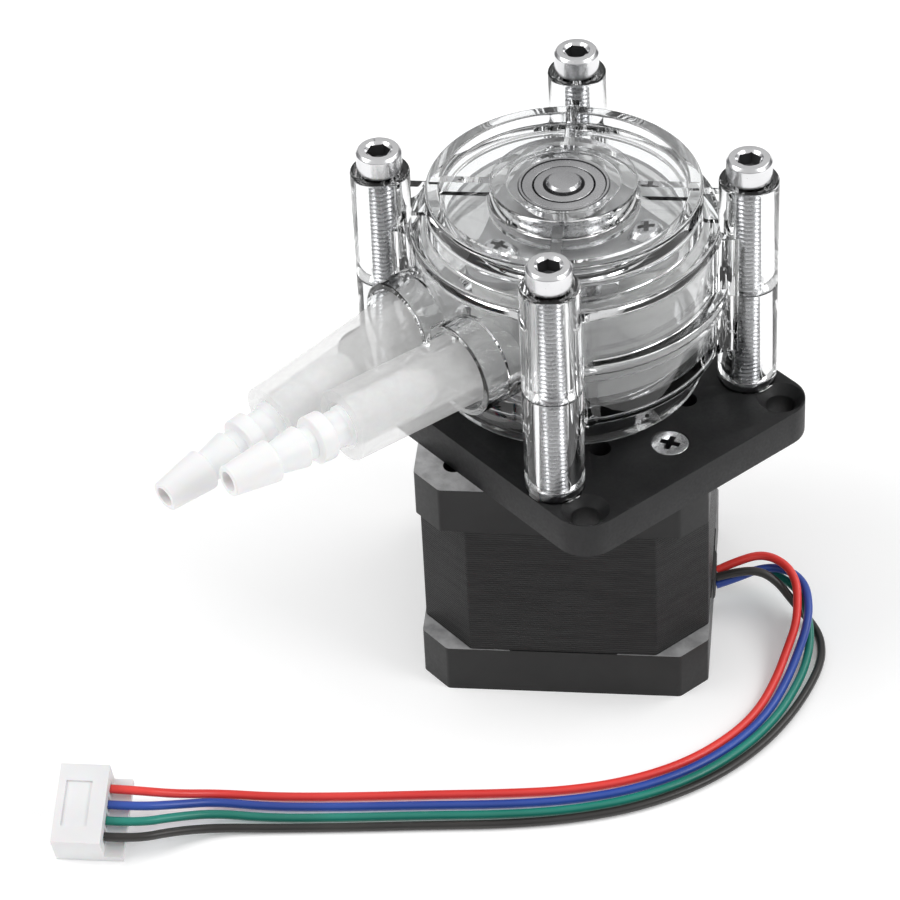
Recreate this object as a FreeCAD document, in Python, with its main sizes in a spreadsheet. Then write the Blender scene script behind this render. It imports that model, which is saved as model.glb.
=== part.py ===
"""Peristaltic pump: a clear three-roller pump head on an adapter plate and a square stepper motor.

Units are millimetres.  +Z runs up the pump shaft, the motor's rear face stands on Z = 0 and the
two tube ends leave along -Y.  The motor is turned 45 degrees about Z under the rectangular plate.
"""
import FreeCAD, Part
import math
import os
import re
import Sketcher

V = FreeCAD.Vector

DRIVING = {
    # stepper motor
    "motor_side": 42.3,
    "motor_length": 38.4,
    "motor_corner": 4.0,
    "rear_bell_depth": 7.9,
    "front_bell_depth": 7.6,
    "stator_inset": 0.15,
    "stator_corner": 7.3,
    "stator_bore": 11.2,
    "pole_count": 8,
    "pole_width": 4.4,
    "slot_radius": 17.0,
    "motor_hole_radius": 21.92,
    "boss_radius": 11.0,
    "boss_height": 2.0,
    "shaft_radius": 2.5,
    "shaft_reach": 24.0,
    "flat_depth": 0.5,
    "magnet_radius": 10.9,
    "magnet_length": 18.0,
    # adapter plate
    "plate_length": 58.0,
    "plate_width": 45.0,
    "plate_thick": 5.5,
    "plate_corner": 5.0,
    "plate_hole_span": 50.0,
    "plate_hole_gap": 37.0,
    "plate_hole_radius": 2.1,
    "plate_sink_radius": 3.4,
    # clear casing
    "post_pitch": 36.5,
    "post_radius": 4.25,
    "post_top": 79.1,
    "split_level": 61.5,
    "casing_radius": 22.0,
    "lip_radius": 23.5,
    "lip_thick": 1.4,
    "neck_radius": 19.5,
    "race_radius": 20.6,
    "race_half": 7.7,
    "casing_half": 10.2,
    "rim_top": 77.2,
    "rim_bore": 17.5,
    "lid_top": 75.4,
    "lid_thick": 2.0,
    "skirt_bottom": 45.9,
    "hub_radius": 10.5,
    "hub_top": 78.2,
    "rib_thick": 1.5,
    "web_hollow": 3.0,
    "port_offset": 6.6,
    "port_radius": 6.8,
    "port_mouth": 5.9,
    "port_face": 25.7,
    # long screws
    "bolt_radius": 1.95,
    "bolt_hole_radius": 2.15,
    "bolt_head_radius": 3.25,
    "bolt_head_height": 3.4,
    "bolt_length": 40.0,
    "hex_flat": 3.0,
    # small screws
    "screw_radius": 1.45,
    "screw_head_radius": 2.75,
    # bearings
    "pump_bearing_outer": 6.5,
    "pump_bearing_width": 4.0,
    "motor_bearing_outer": 8.0,
    "motor_bearing_width": 5.0,
    "ring_wall": 1.1,
    # rotor
    "pin_circle": 12.0,
    "pin_radius": 2.0,
    "roller_radius": 4.0,
    "roller_bore": 2.06,
    "roller_length": 13.0,
    "rotor_plate_thick": 1.6,
    "rotor_corner": 4.2,
    "rotor_hub_radius": 5.0,
    # tube
    "tube_radius": 5.2,
    "tube_bore": 3.5,
    "tube_inner_face": 16.3,
    "tube_outer_face": 20.5,
    "tube_half_height": 7.0,
    "tube_lumen": 0.4,
    # barbed tube connectors
    "barb_tip": 2.2,
    "barb_radius": 3.0,
    "collar_radius": 3.5,
    "connector_bore": 1.4,
    "connector_outside": 18.7,
    "connector_inside": 14.7,
    # wires and their plug
    "wire_radius": 0.65,
    "plug_length": 9.8,
    "plug_width": 12.3,
    "plug_thick": 5.75,
    "plug_step": 2.7,
    "plug_shelf": 1.3,
    "plug_pitch": 2.5,
    "plug_side": 2.4,
    "plug_middle": 2.9,
    "plug_hole": 1.9,
}

doc = FreeCAD.newDocument("peristaltic_pump")
dims = doc.addObject("Spreadsheet::Sheet", "dims")
for row, (alias, value) in enumerate(DRIVING.items(), start=1):
    dims.set("A%d" % row, alias)
    dims.set("B%d" % row, str(value))
    dims.setAlias("B%d" % row, alias)
doc.recompute()

# Levels and places that several sub-parts share, as sheet expressions.
PLATE_TOP = "(motor_length + plate_thick)"
STATOR_TOP = "(motor_length - front_bell_depth)"
POST = "(post_pitch / 2)"
LID_UNDERSIDE = "(lid_top - lid_thick)"
NECK_LOW = "(split_level - casing_half)"
NECK_HIGH = "(split_level + casing_half)"
RACE_LOW = "(split_level - race_half)"
RACE_HIGH = "(split_level + race_half)"
PLATE_HIGH = "(split_level + roller_length / 2 + 0.3)"
PLATE_LOW = "(split_level - roller_length / 2 - 0.3 - rotor_plate_thick)"
BEARING_SEAT = "(hub_top - 0.9 - pump_bearing_width)"
SCREW_FACE = "(motor_length - 5.0)"
GRUB_LEVEL = "(split_level - 3.0)"

ABOUT_Z = V(0, 0, 1)
TURN_45 = FreeCAD.Rotation(ABOUT_Z, 45)
UPRIGHT = FreeCAD.Rotation()
ALONG_MINUS_Y = FreeCAD.Rotation(V(1, 0, 0), 90)
ALONG_X = FreeCAD.Rotation(V(0, 1, 0), 90)
NODES = {}


def bound(text):
    """The expression with every sheet alias written out as a reference to the sheet."""
    return re.sub(r"[a-z_]+", lambda word: "dims." + word[0] if word[0] in DRIVING else word[0], text)


def size(alias):
    """A driving dimension read from the sheet as a number."""
    return float(getattr(dims, alias))


def bind(thing, **expressions):
    for name, text in expressions.items():
        thing.setExpression(name, bound(text))
    return thing


def place(thing, x="0", y="0", z="0", turn=UPRIGHT):
    thing.Placement = FreeCAD.Placement(V(), turn)
    for axis, text in zip("xyz", (x, y, z)):
        thing.setExpression("Placement.Base." + axis, bound(text))
    return thing


def cylinder(name, radius, height, x="0", y="0", z="0", turn=UPRIGHT):
    rod = doc.addObject("Part::Cylinder", name)
    bind(rod, Radius=radius, Height=height)
    return place(rod, x, y, z, turn)


def cone(name, low, high, height, x="0", y="0", z="0", turn=UPRIGHT):
    taper = doc.addObject("Part::Cone", name)
    bind(taper, Radius1=low, Radius2=high, Height=height)
    return place(taper, x, y, z, turn)


def box(name, length, width, height, x="0", y="0", z="0", turn=UPRIGHT):
    block = doc.addObject("Part::Box", name)
    bind(block, Length=length, Width=width, Height=height)
    return place(block, x, y, z, turn)


def centred_box(name, length, width, height, z="0"):
    return box(name, length, width, height, "-(%s) / 2" % length, "-(%s) / 2" % width, z)


def square_block(name, side, height, z):
    """An upright block, square in plan, turned 45 degrees about the pump axis."""
    return box(name, side, side, height, "0", "-(%s) * sqrt(0.5)" % side, z, TURN_45)


def prism(name, circumradius, height, x="0", y="0", z="0"):
    bar = doc.addObject("Part::Prism", name)
    bar.Polygon = 6
    bind(bar, Circumradius=circumradius, Height=height)
    return place(bar, x, y, z)


def fuse(name, *things):
    joined = doc.addObject("Part::MultiFuse", name)
    joined.Shapes = list(things)
    joined.Refine = True
    return joined


def cut(name, base, *tools):
    trimmed = doc.addObject("Part::Cut", name)
    trimmed.Base = base
    trimmed.Tool = tools[0] if len(tools) == 1 else group(name + "_tools", *tools)
    return trimmed


def group(name, *things):
    """Several separate solids that share one node."""
    bundle = doc.addObject("Part::Compound", name)
    bundle.Links = list(things)
    return bundle


def common(name, base, tool):
    shared = doc.addObject("Part::Common", name)
    shared.Base = base
    shared.Tool = tool
    return shared


def ring(name, outer, inner, height, z):
    return cut(name, cylinder(name + "_outer", outer, height, z=z),
               cylinder(name + "_inner", inner, "(%s) + 0.2" % height, z="(%s) - 0.1" % z))


def node(label, thing):
    """Registers a finished sub-part: its label names its file."""
    thing.Label = label
    NODES[label] = thing
    return thing


def origin_plane(body, role):
    return next(part for part in body.Origin.OriginFeatures if part.Role == role)


def outline(body, name, role, points):
    """A closed polygon sketch; each corner is dimensioned from the origin by the sheet."""
    sketch = body.newObject("Sketcher::SketchObject", name)
    sketch.AttachmentSupport = [(origin_plane(body, role), "")]
    sketch.MapMode = "FlatFace"
    count = len(points)
    turns = [2 * math.pi * index / count for index in range(count)]
    rough = [V(40 + 30 * math.cos(turn), 40 + 30 * math.sin(turn), 0) for turn in turns]
    for index in range(count):
        sketch.addGeometry(Part.LineSegment(rough[index], rough[(index + 1) % count]), False)
    for index in range(count):
        sketch.addConstraint(Sketcher.Constraint("Coincident", index, 2, (index + 1) % count, 1))
    for index, corner in enumerate(points):
        for kind, text, start in zip(("DistanceX", "DistanceY"), corner, rough[index]):
            rule = sketch.addConstraint(Sketcher.Constraint(kind, -1, 1, index, 1, start))
            sketch.setExpression("Constraints[%d]" % rule, bound(text))
    return sketch


def revolved(label, profile, turn=UPRIGHT, x="0", y="0", z="0"):
    """A PartDesign body turned about its own Z from a profile of (radius, height) corners."""
    body = doc.addObject("PartDesign::Body", label)
    sketch = outline(body, label + "_profile", "XZ_Plane", profile)
    turned = body.newObject("PartDesign::Revolution", label + "_turned")
    turned.Profile = sketch
    turned.ReferenceAxis = (sketch, ["V_Axis"])
    turned.Angle = 360
    place(body, x, y, z, turn)
    return body


def corners(radius):
    """The four places on the X and Y axes at one radius, as expression pairs."""
    return [(radius, "0"), ("0", radius), ("-(%s)" % radius, "0"), ("0", "-(%s)" % radius)]


def on_circle(radius, angle):
    """A place at an angle in degrees round the pump axis, as an expression pair."""
    turn = math.radians(angle)
    return "(%s) * %.6f" % (radius, math.cos(turn)), "(%s) * %.6f" % (radius, math.sin(turn))


def quadrants(x, y):
    """The four corners of a centred rectangle, as expression pairs."""
    return [(sx + "(%s)" % x, sy + "(%s)" % y) for sx in ("", "-") for sy in ("", "-")]


# ---------------------------------------------------------------- stepper motor

def bell_block(name, height, z):
    """A square cap with its four corners cut off."""
    block = square_block(name + "_block", "motor_side", height, z)
    bevel = "(motor_side - motor_corner) * sqrt(2)"
    return common(name, block, centred_box(name + "_bevel", bevel, bevel, height, z))


def motor_rear_bell():
    blank = bell_block("rear_blank", "rear_bell_depth", "0")
    hollow = ring("rear_hollow", "slot_radius", "10.2", "rear_bell_depth", "3.2")
    pocket = cylinder("rear_pocket", "motor_bearing_outer", "rear_bell_depth", z="1.8")
    relief = cylinder("rear_relief", "5.0", "rear_bell_depth", z="1.0")
    holes = []
    for index, (x, y) in enumerate(corners("motor_hole_radius")):
        holes.append(cylinder("rear_hole_%d" % index, "screw_radius + 0.2", "rear_bell_depth + 0.2", x, y, "-0.1"))
        holes.append(cylinder("rear_sink_%d" % index, "3.0", "2.5", x, y, "-0.1"))
    notch = box("rear_notch", "8.0", "8.0", "4.8", "15.4 * sqrt(0.5) + 4 * sqrt(0.5)",
                "15.4 * sqrt(0.5) - 4 * sqrt(0.5)", "3.2", TURN_45)
    return node("motor_rear_bell", cut("rear_cut", blank, hollow, pocket, relief, notch, *holes))


def motor_front_bell():
    blank = bell_block("front_blank", "front_bell_depth", STATOR_TOP)
    boss = cylinder("front_boss", "boss_radius", "boss_height + 1", z="motor_length - 1")
    hollow = ring("front_hollow", "slot_radius", "10.2", "front_bell_depth - 2.6", STATOR_TOP + " - 0.1")
    pocket = cylinder("front_pocket", "motor_bearing_outer", "motor_bearing_width + 2.0",
                      z="motor_length - 1.6 - motor_bearing_width")
    relief = cylinder("front_relief", "9.0", "3.0", z=STATOR_TOP + " - 0.1")
    opening = cylinder("front_opening", "4.0", "12", z=STATOR_TOP)
    holes = []
    for index, (x, y) in enumerate(corners("motor_hole_radius")):
        holes.append(cylinder("front_hole_%d" % index, "screw_radius + 0.05", "front_bell_depth + 0.2",
                              x, y, STATOR_TOP + " - 0.1"))
    body = fuse("front_body", blank, boss)
    return node("motor_front_bell", cut("front_cut", body, hollow, pocket, relief, opening, *holes))


def motor_stator():
    """Lamination stack with inward poles that carry the coils."""
    height = STATOR_TOP + " - rear_bell_depth"
    side = "(motor_side - 2 * stator_inset)"
    block = square_block("stack_block", side, height, "rear_bell_depth")
    bevel = "(%s - stator_corner) * sqrt(2)" % side
    blank = common("stack_blank", block, centred_box("stack_bevel", bevel, bevel, height, "rear_bell_depth"))
    slot = cylinder("stack_slot", "slot_radius", height + " + 0.2", z="rear_bell_depth - 0.1")
    yoke = cut("stack_yoke", blank, slot)
    poles = []
    for index in range(int(size("pole_count"))):
        turn = FreeCAD.Rotation(ABOUT_Z, index * 360 / size("pole_count") + 22.5)
        pole = box("pole_%d" % index, "slot_radius + 1", "pole_width", height, turn=turn)
        offset = turn.multVec(V(0, -size("pole_width") / 2, 0))
        place(pole, "%.6f" % offset.x, "%.6f" % offset.y, "rear_bell_depth", turn)
        poles.append(pole)
    joined = fuse("stack_joined", yoke, *poles)
    bore = cylinder("stack_bore", "stator_bore", height + " + 0.2", z="rear_bell_depth - 0.1")
    tools = [bore]
    for index, (x, y) in enumerate(corners("motor_hole_radius")):
        tools.append(cylinder("stack_hole_%d" % index, "screw_radius + 0.2", height + " + 0.2", x, y,
                              "rear_bell_depth - 0.1"))
    return node("motor_stator", cut("stack_cut", joined, *tools))


def motor_windings():
    """One coil round each pole, as a closed rectangular loop."""
    coils = []
    inner, outer, gap, wall = 12.6, 15.6, 0.1, 1.3
    for index in range(int(size("pole_count"))):
        turn = FreeCAD.Rotation(ABOUT_Z, index * 360 / size("pole_count") + 22.5)
        half = size("pole_width") / 2 + gap
        start = turn.multVec(V(inner, -half - wall, 0))
        hole = turn.multVec(V(inner - 1, -half, 0))
        loop = box("coil_%d_outer" % index, "%.3f" % (outer - inner), "%.3f" % (2 * half + 2 * wall),
                   STATOR_TOP + " - rear_bell_depth + 3.0")
        place(loop, "%.6f" % start.x, "%.6f" % start.y, "rear_bell_depth - 1.5", turn)
        core = box("coil_%d_hole" % index, "%.3f" % (outer - inner + 2), "%.3f" % (2 * half),
                   STATOR_TOP + " - rear_bell_depth + 0.2")
        place(core, "%.6f" % hole.x, "%.6f" % hole.y, "rear_bell_depth - 0.1", turn)
        coils.append(cut("coil_%d" % index, loop, core))
    return node("motor_windings", group("coil_set", *coils))


def motor_screws():
    """Four long screws that clamp the two bells on the stack, heads sunk in the rear face."""
    screws = []
    for index, (x, y) in enumerate(corners("motor_hole_radius")):
        shank = cylinder("tie_shank_%d" % index, "screw_radius", SCREW_FACE + " - 2.6", x, y, "2.2")
        head = cylinder("tie_head_%d" % index, "screw_head_radius", "1.9", x, y, "0.4")
        drive = prism("tie_drive_%d" % index, "1.1", "1.2", x, y, "0.2")
        screws.append(cut("tie_%d" % index, fuse("tie_body_%d" % index, shank, head), drive))
    return node("motor_screws", group("tie_set", *screws))


def motor_wire_bush():
    """Plastic bush in the rear bell's notch, its face just proud of the motor's side."""
    x = "(16.0 + 3.8) * sqrt(0.5)"
    y = "(16.0 - 3.8) * sqrt(0.5)"
    return node("motor_wire_bush", box("wire_bush", "motor_side / 2 + 0.4 - 16.0", "7.6", "4.5", x, y, "3.3", TURN_45))


def motor_wave_washer():
    return node("motor_wave_washer", ring("wave_ring", "7.6", "5.6", "0.3", "1.85"))


def motor_shaft():
    """Round shaft with a flat over its upper end."""
    tip = "(motor_length + shaft_reach)"
    rod = cylinder("shaft_rod", "shaft_radius", tip + " - 1.4", z="1.4")
    flat = box("shaft_flat", "2", "8", "15.1", "shaft_radius - flat_depth", "-4", tip + " - 15")
    return node("motor_shaft", cut("shaft_cut", rod, flat))


def motor_magnet():
    """Two pole cups with the magnet disc between them."""
    start = "(rear_bell_depth + 2.4)"
    drum = cylinder("magnet_drum", "magnet_radius", "magnet_length", z=start)
    groove = ring("magnet_groove", "magnet_radius + 1", "magnet_radius - 0.8", "1.6",
                  start + " + magnet_length / 2 - 0.8")
    bore = cylinder("magnet_bore", "shaft_radius + 0.02", "magnet_length + 1", z=start + " - 0.5")
    return node("motor_magnet", cut("magnet_cut", drum, groove, bore))


# ---------------------------------------------------------------- bearings

def bearing(prefix, outer, width, z, count=8):
    """A ball bearing: outer ring, inner ring, and the balls with the crown cage that spaces them."""
    node(prefix + "_outer_ring", ring(prefix + "_or", outer, "(%s) - ring_wall" % outer, width, z))
    node(prefix + "_inner_ring", ring(prefix + "_ir", "shaft_radius + ring_wall", "shaft_radius + 0.01", width, z))
    middle = "((%s) + shaft_radius) / 2" % outer
    ball_radius = "(((%s) - shaft_radius) / 2 - ring_wall - 0.06)" % outer
    level = "(%s) + (%s) / 2" % (z, width)
    under = "%s - %s - 0.5" % (level, ball_radius)
    balls, stems = [], []
    for index in range(count):
        x, y = on_circle(middle, 360 * index / count)
        ball = doc.addObject("Part::Sphere", "%s_ball_%d" % (prefix, index))
        bind(ball, Radius=ball_radius)
        balls.append(place(ball, x, y, level))
        x, y = on_circle(middle, 360 * (index + 0.5) / count)
        stems.append(cylinder("%s_stem_%d" % (prefix, index), "0.3", ball_radius + " + 0.6", x, y, under + " + 0.1"))
    crown = ring(prefix + "_crown", "(%s) + 0.45" % middle, "(%s) - 0.45" % middle, "0.42", under)
    node(prefix + "_balls", group(prefix + "_set", fuse(prefix + "_cage", crown, *stems), *balls))


def bearing_shields():
    """Thin pressed rings that close both sides of the pump bearing."""
    width = "0.25"
    upper = ring("shield_upper", "pump_bearing_outer - ring_wall - 0.02", "shaft_radius + ring_wall + 0.15", width,
                 BEARING_SEAT + " + pump_bearing_width - 0.45")
    lower = ring("shield_lower", "pump_bearing_outer - ring_wall - 0.02", "shaft_radius + ring_wall + 0.15", width,
                 BEARING_SEAT + " + 0.2")
    return node("pump_bearing_shields", group("shield_pair", upper, lower))


# ---------------------------------------------------------------- adapter plate

def adapter_plate():
    """Rounded rectangular plate: a padded sketch with filleted corners and bored holes."""
    body = doc.addObject("PartDesign::Body", "plate_body")
    edge = [(sx + "plate_length / 2", sy + "plate_width / 2") for sx, sy in
            (("-", "-"), ("", "-"), ("", ""), ("-", ""))]
    sketch = outline(body, "plate_outline", "XY_Plane", edge)
    pad = body.newObject("PartDesign::Pad", "plate_pad")
    pad.Profile = sketch
    bind(pad, Length="plate_thick")
    doc.recompute()
    upright = [index for index, line in enumerate(pad.Shape.Edges, start=1)
               if abs(line.Vertexes[0].Z - line.Vertexes[-1].Z) > 1]
    rounded = body.newObject("PartDesign::Fillet", "plate_rounding")
    rounded.Base = (pad, ["Edge%d" % index for index in upright])
    bind(rounded, Radius="plate_corner")
    place(body, z="motor_length")
    tools = [cylinder("plate_boss_hole", "boss_radius + 0.1", "plate_thick + 0.2", z="motor_length - 0.1")]
    deep = "plate_thick + 0.2"
    low = "motor_length - 0.1"
    for index, (x, y) in enumerate(quadrants("plate_hole_span / 2", "plate_hole_gap / 2")):
        tools.append(cylinder("mount_hole_%d" % index, "plate_hole_radius", deep, x, y, low))
        tools.append(cone("mount_sink_%d" % index, "plate_hole_radius", "plate_sink_radius + 0.05", "1.35", x, y,
                          PLATE_TOP + " - 1.3"))
    for index, (x, y) in enumerate(quadrants(POST, POST)):
        tools.append(cylinder("tapped_hole_%d" % index, "bolt_radius + 0.02", deep, x, y, low))
    for index, (x, y) in enumerate(quadrants("16.3", "8.2")):
        tools.append(cylinder("spare_hole_%d" % index, "1.6", deep, x, y, low))
    for index, (x, y) in enumerate((("motor_hole_radius", "0"), ("-motor_hole_radius", "0"))):
        tools.append(cylinder("screw_hole_%d" % index, "screw_radius + 0.15", deep, x, y, low))
        tools.append(cone("screw_sink_%d" % index, "screw_radius", "screw_head_radius + 0.1", "1.66", x, y,
                          PLATE_TOP + " - 1.65"))
    return node("adapter_plate", cut("plate_cut", body, *tools))


def plate_screws():
    """Two countersunk screws that hold the plate on the motor."""
    screws = []
    for index, (x, y) in enumerate((("motor_hole_radius", "0"), ("-motor_hole_radius", "0"))):
        shank = cylinder("sunk_shank_%d" % index, "screw_radius", PLATE_TOP + " - (" + SCREW_FACE + ") - 1.4",
                         x, y, SCREW_FACE + " + 0.4")
        head = cone("sunk_head_%d" % index, "screw_radius", "screw_head_radius", "1.45", x, y, PLATE_TOP + " - 1.55")
        slots = [box("sunk_slot_%d_a" % index, "2.8", "0.6", "1.0", "(%s) - 1.4" % x, "-0.3", PLATE_TOP + " - 0.9"),
                 box("sunk_slot_%d_b" % index, "0.6", "2.8", "1.0", "(%s) - 0.3" % x, "-1.4", PLATE_TOP + " - 0.9")]
        screws.append(cut("sunk_%d" % index, fuse("sunk_body_%d" % index, shank, head), *slots))
    return node("plate_screws", group("sunk_pair", *screws))


# ---------------------------------------------------------------- casing

def port_block(name, z, height):
    """The two tube sockets and the bridge between them, kept on one side of the split."""
    tubes = [cylinder("%s_port_%d" % (name, side), "port_radius", "port_face - 12",
                      "%d * port_offset" % side, "-12", "split_level", ALONG_MINUS_Y) for side in (-1, 1)]
    bridge = box(name + "_bridge", "2 * port_offset", "port_face - 13.2", "6.0", "-port_offset", "1.2 - port_face",
                 "split_level - 3")
    whole = fuse(name + "_ports", bridge, *tubes)
    side = box(name + "_side", "60", "40", height, "-30", "-40", z)
    return common(name + "_port_half", whole, side)


def port_tools(name):
    """What the tubes need: a bore through the wall and a wider mouth at the outer end."""
    tools = []
    for side in (-1, 1):
        x = "%d * port_offset" % side
        tools.append(cylinder("%s_bore_%d" % (name, side), "tube_radius + 0.05", "20", x, "-10", "split_level",
                              ALONG_MINUS_Y))
        tools.append(cylinder("%s_mouth_%d" % (name, side), "port_mouth", "4.5", x, "4.4 - port_face", "split_level",
                              ALONG_MINUS_Y))
    return tools


def post_webs(name, low, high):
    """Four solid corners between the drum and the posts, each with a hollow arc on both sides."""
    hollow = size("web_hollow")
    reach = size("post_pitch") * math.sqrt(0.5)
    far, near = size("casing_radius") + hollow, size("post_radius") + hollow
    middle = (far ** 2 - near ** 2 + reach ** 2) / (2 * reach)
    side = math.sqrt(far ** 2 - middle ** 2)
    start, end = 15.0, middle + (reach - middle) * hollow / near
    half = side * size("casing_radius") / far
    height = "(%s) - (%s)" % (high, low)
    webs = []
    for index in range(4):
        turn = FreeCAD.Rotation(ABOUT_Z, 45 + 90 * index)
        block = box("%s_web_%d" % (name, index), "%.4f" % (end - start), "%.4f" % (2 * half), height)
        offset = turn.multVec(V(start, -half, 0))
        place(block, "%.6f" % offset.x, "%.6f" % offset.y, low, turn)
        arcs = []
        for sign in (-1, 1):
            centre = turn.multVec(V(middle, sign * side, 0))
            arcs.append(cylinder("%s_arc_%d_%d" % (name, index, sign), "web_hollow + 0.15", height + " + 0.2",
                                 "%.6f" % centre.x, "%.6f" % centre.y, low + " - 0.1"))
        webs.append(cut("%s_corner_%d" % (name, index), block, *arcs))
    return webs


def post_fins(name, low, high):
    """Four thin upright fins above the corners, from the drum's neck out to the posts."""
    fins = []
    for index in range(4):
        turn = FreeCAD.Rotation(ABOUT_Z, 45 + 90 * index)
        fin = box("%s_fin_%d" % (name, index), "post_pitch * sqrt(0.5) - 2.4 - neck_radius + 1", "rib_thick",
                  "(%s) - (%s)" % (high, low))
        offset = turn.multVec(V(size("neck_radius") - 1, -size("rib_thick") / 2, 0))
        place(fin, "%.6f" % offset.x, "%.6f" % offset.y, low, turn)
        fins.append(fin)
    return fins


def posts(name, low, high):
    return [cylinder("%s_post_%d" % (name, index), "post_radius", "(%s) - (%s)" % (high, low), x, y, low)
            for index, (x, y) in enumerate(quadrants(POST, POST))]


def post_holes(name, low, high):
    return [cylinder("%s_bolt_hole_%d" % (name, index), "bolt_hole_radius", "(%s) - (%s) + 0.2" % (high, low), x, y,
                     "(%s) - 0.1" % low) for index, (x, y) in enumerate(quadrants(POST, POST))]


def casing_base():
    """Lower half: posts, drum, stepped skirt and the lower half of both tube sockets."""
    drum = cylinder("base_drum", "casing_radius", "casing_half", z=NECK_LOW)
    skirt = cylinder("base_skirt", "neck_radius", NECK_LOW + " - skirt_bottom", z="skirt_bottom")
    lip = cylinder("base_lip", "lip_radius", "lip_thick", z="split_level - lip_thick")
    outside = fuse("base_outside", drum, skirt, lip, port_block("base", "split_level - 10", "10"),
                   *posts("base", PLATE_TOP, "split_level"), *post_webs("base", "(%s + 0.4)" % NECK_LOW, "split_level"))
    race = cylinder("base_race", "race_radius", "race_half + 0.1", z=RACE_LOW)
    well = cylinder("base_well", "rim_bore", "race_half", z=PLATE_LOW + " - 0.5")
    under = cylinder("base_under", "neck_radius - 1.8", PLATE_LOW + " - 2.4 - skirt_bottom + 0.1",
                     z="skirt_bottom - 0.1")
    opening = cylinder("base_opening", "rotor_hub_radius + 1", "8", z=NECK_LOW + " - 1")
    return node("casing_base", cut("base_cut", outside, race, well, under, opening, *port_tools("base"),
                                   *post_holes("base", PLATE_TOP, "split_level")))


def casing_cover():
    """Upper half: stepped drum, sunk lid with its rim, bearing hub, ribs and posts."""
    drum = cylinder("cover_drum", "casing_radius", "casing_half", z="split_level")
    neck = cylinder("cover_neck", "neck_radius", "rim_top - (%s)" % NECK_HIGH, z=NECK_HIGH)
    lip = cylinder("cover_lip", "lip_radius", "lip_thick", z="split_level")
    outside = fuse("cover_outside", drum, neck, lip, port_block("cover", "split_level", "10"),
                   *posts("cover", "split_level", "post_top"), *post_webs("cover", "split_level", "(%s - 0.4)" % NECK_HIGH),
                   *post_fins("cover", "(%s - 1)" % NECK_HIGH, "(rim_top - 0.5)"))
    well = cylinder("cover_well", "rim_bore", "4", z="lid_top")
    race = cylinder("cover_race", "race_radius", "race_half + 0.1", z="split_level - 0.1")
    above = cylinder("cover_above", "rim_bore", LID_UNDERSIDE + " - (%s) + 0.1" % RACE_HIGH, z=RACE_HIGH + " - 0.1")
    shell = cut("cover_shell", outside, well, race, above, *port_tools("cover"),
                *post_holes("cover", "split_level", "post_top"))
    hub = cylinder("cover_hub", "hub_radius", "hub_top - (%s) + 0.7" % LID_UNDERSIDE, z=LID_UNDERSIDE + " - 0.7")
    ribs = []
    for index in range(4):
        turn = FreeCAD.Rotation(ABOUT_Z, 45 + 90 * index)
        rib = box("cover_rib_%d" % index, "rim_bore + 0.5", "rib_thick", "rim_top + 0.4 - lid_top + 0.5")
        offset = turn.multVec(V(0, -size("rib_thick") / 2, 0))
        place(rib, "%.6f" % offset.x, "%.6f" % offset.y, "lid_top - 0.5", turn)
        ribs.append(rib)
    joined = fuse("cover_joined", shell, hub, *ribs)
    dish = cylinder("cover_dish", "hub_radius - 2.4", "1.0", z="hub_top - 0.9")
    seat = cylinder("cover_seat", "pump_bearing_outer + 0.02", "8", z=BEARING_SEAT)
    bore = cylinder("cover_bore", "pump_bearing_outer - 1.3", "12", z="hub_top - 10")
    return node("casing_cover", cut("cover_cut", joined, dish, seat, bore))


def casing_bolts():
    """Four socket-head cap screws down the posts into the plate."""
    bolts = []
    for index, (x, y) in enumerate(quadrants(POST, POST)):
        shank = cylinder("bolt_shank_%d" % index, "bolt_radius", "bolt_length", x, y, "post_top - bolt_length")
        head = cylinder("bolt_head_%d" % index, "bolt_head_radius", "bolt_head_height - 0.4", x, y, "post_top")
        crown = cone("bolt_crown_%d" % index, "bolt_head_radius", "bolt_head_radius - 0.5", "0.4", x, y,
                     "post_top + bolt_head_height - 0.4")
        socket = prism("bolt_socket_%d" % index, "hex_flat / sqrt(3)", "2.2", x, y,
                       "post_top + bolt_head_height - 2.1")
        bolts.append(cut("bolt_%d" % index, fuse("bolt_body_%d" % index, shank, head, crown), socket))
    return node("casing_bolts", group("bolt_set", *bolts))


# ---------------------------------------------------------------- rotor

PIN_ANGLES = (-90, 30, 150)


def pin_places():
    return [on_circle("pin_circle", angle) for angle in PIN_ANGLES]


def rotor_plate(label, z, bore):
    """A rounded triangle with the three pins at its corners."""
    body = doc.addObject("PartDesign::Body", label + "_web")
    # rounding a corner of an equilateral triangle moves the arc's centre in by twice its radius
    tips = [on_circle("pin_circle + 2 * rotor_corner", angle) for angle in PIN_ANGLES]
    sketch = outline(body, label + "_triangle", "XY_Plane", tips)
    pad = body.newObject("PartDesign::Pad", label + "_pad")
    pad.Profile = sketch
    bind(pad, Length="rotor_plate_thick")
    doc.recompute()
    upright = [index for index, line in enumerate(pad.Shape.Edges, start=1)
               if abs(line.Vertexes[0].Z - line.Vertexes[-1].Z) > 1]
    rounded = body.newObject("PartDesign::Fillet", label + "_rounding")
    rounded.Base = (pad, ["Edge%d" % index for index in upright])
    bind(rounded, Radius="rotor_corner")
    place(body, z=z)
    tools = [cylinder(label + "_centre", bore, "4", z="(%s) - 1" % z)]
    for index, (px, py) in enumerate(pin_places()):
        tools.append(cylinder("%s_hole_%d" % (label, index), "screw_radius + 0.05", "4", px, py, "(%s) - 1" % z))
    return node(label, cut(label + "_cut", body, *tools))


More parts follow.
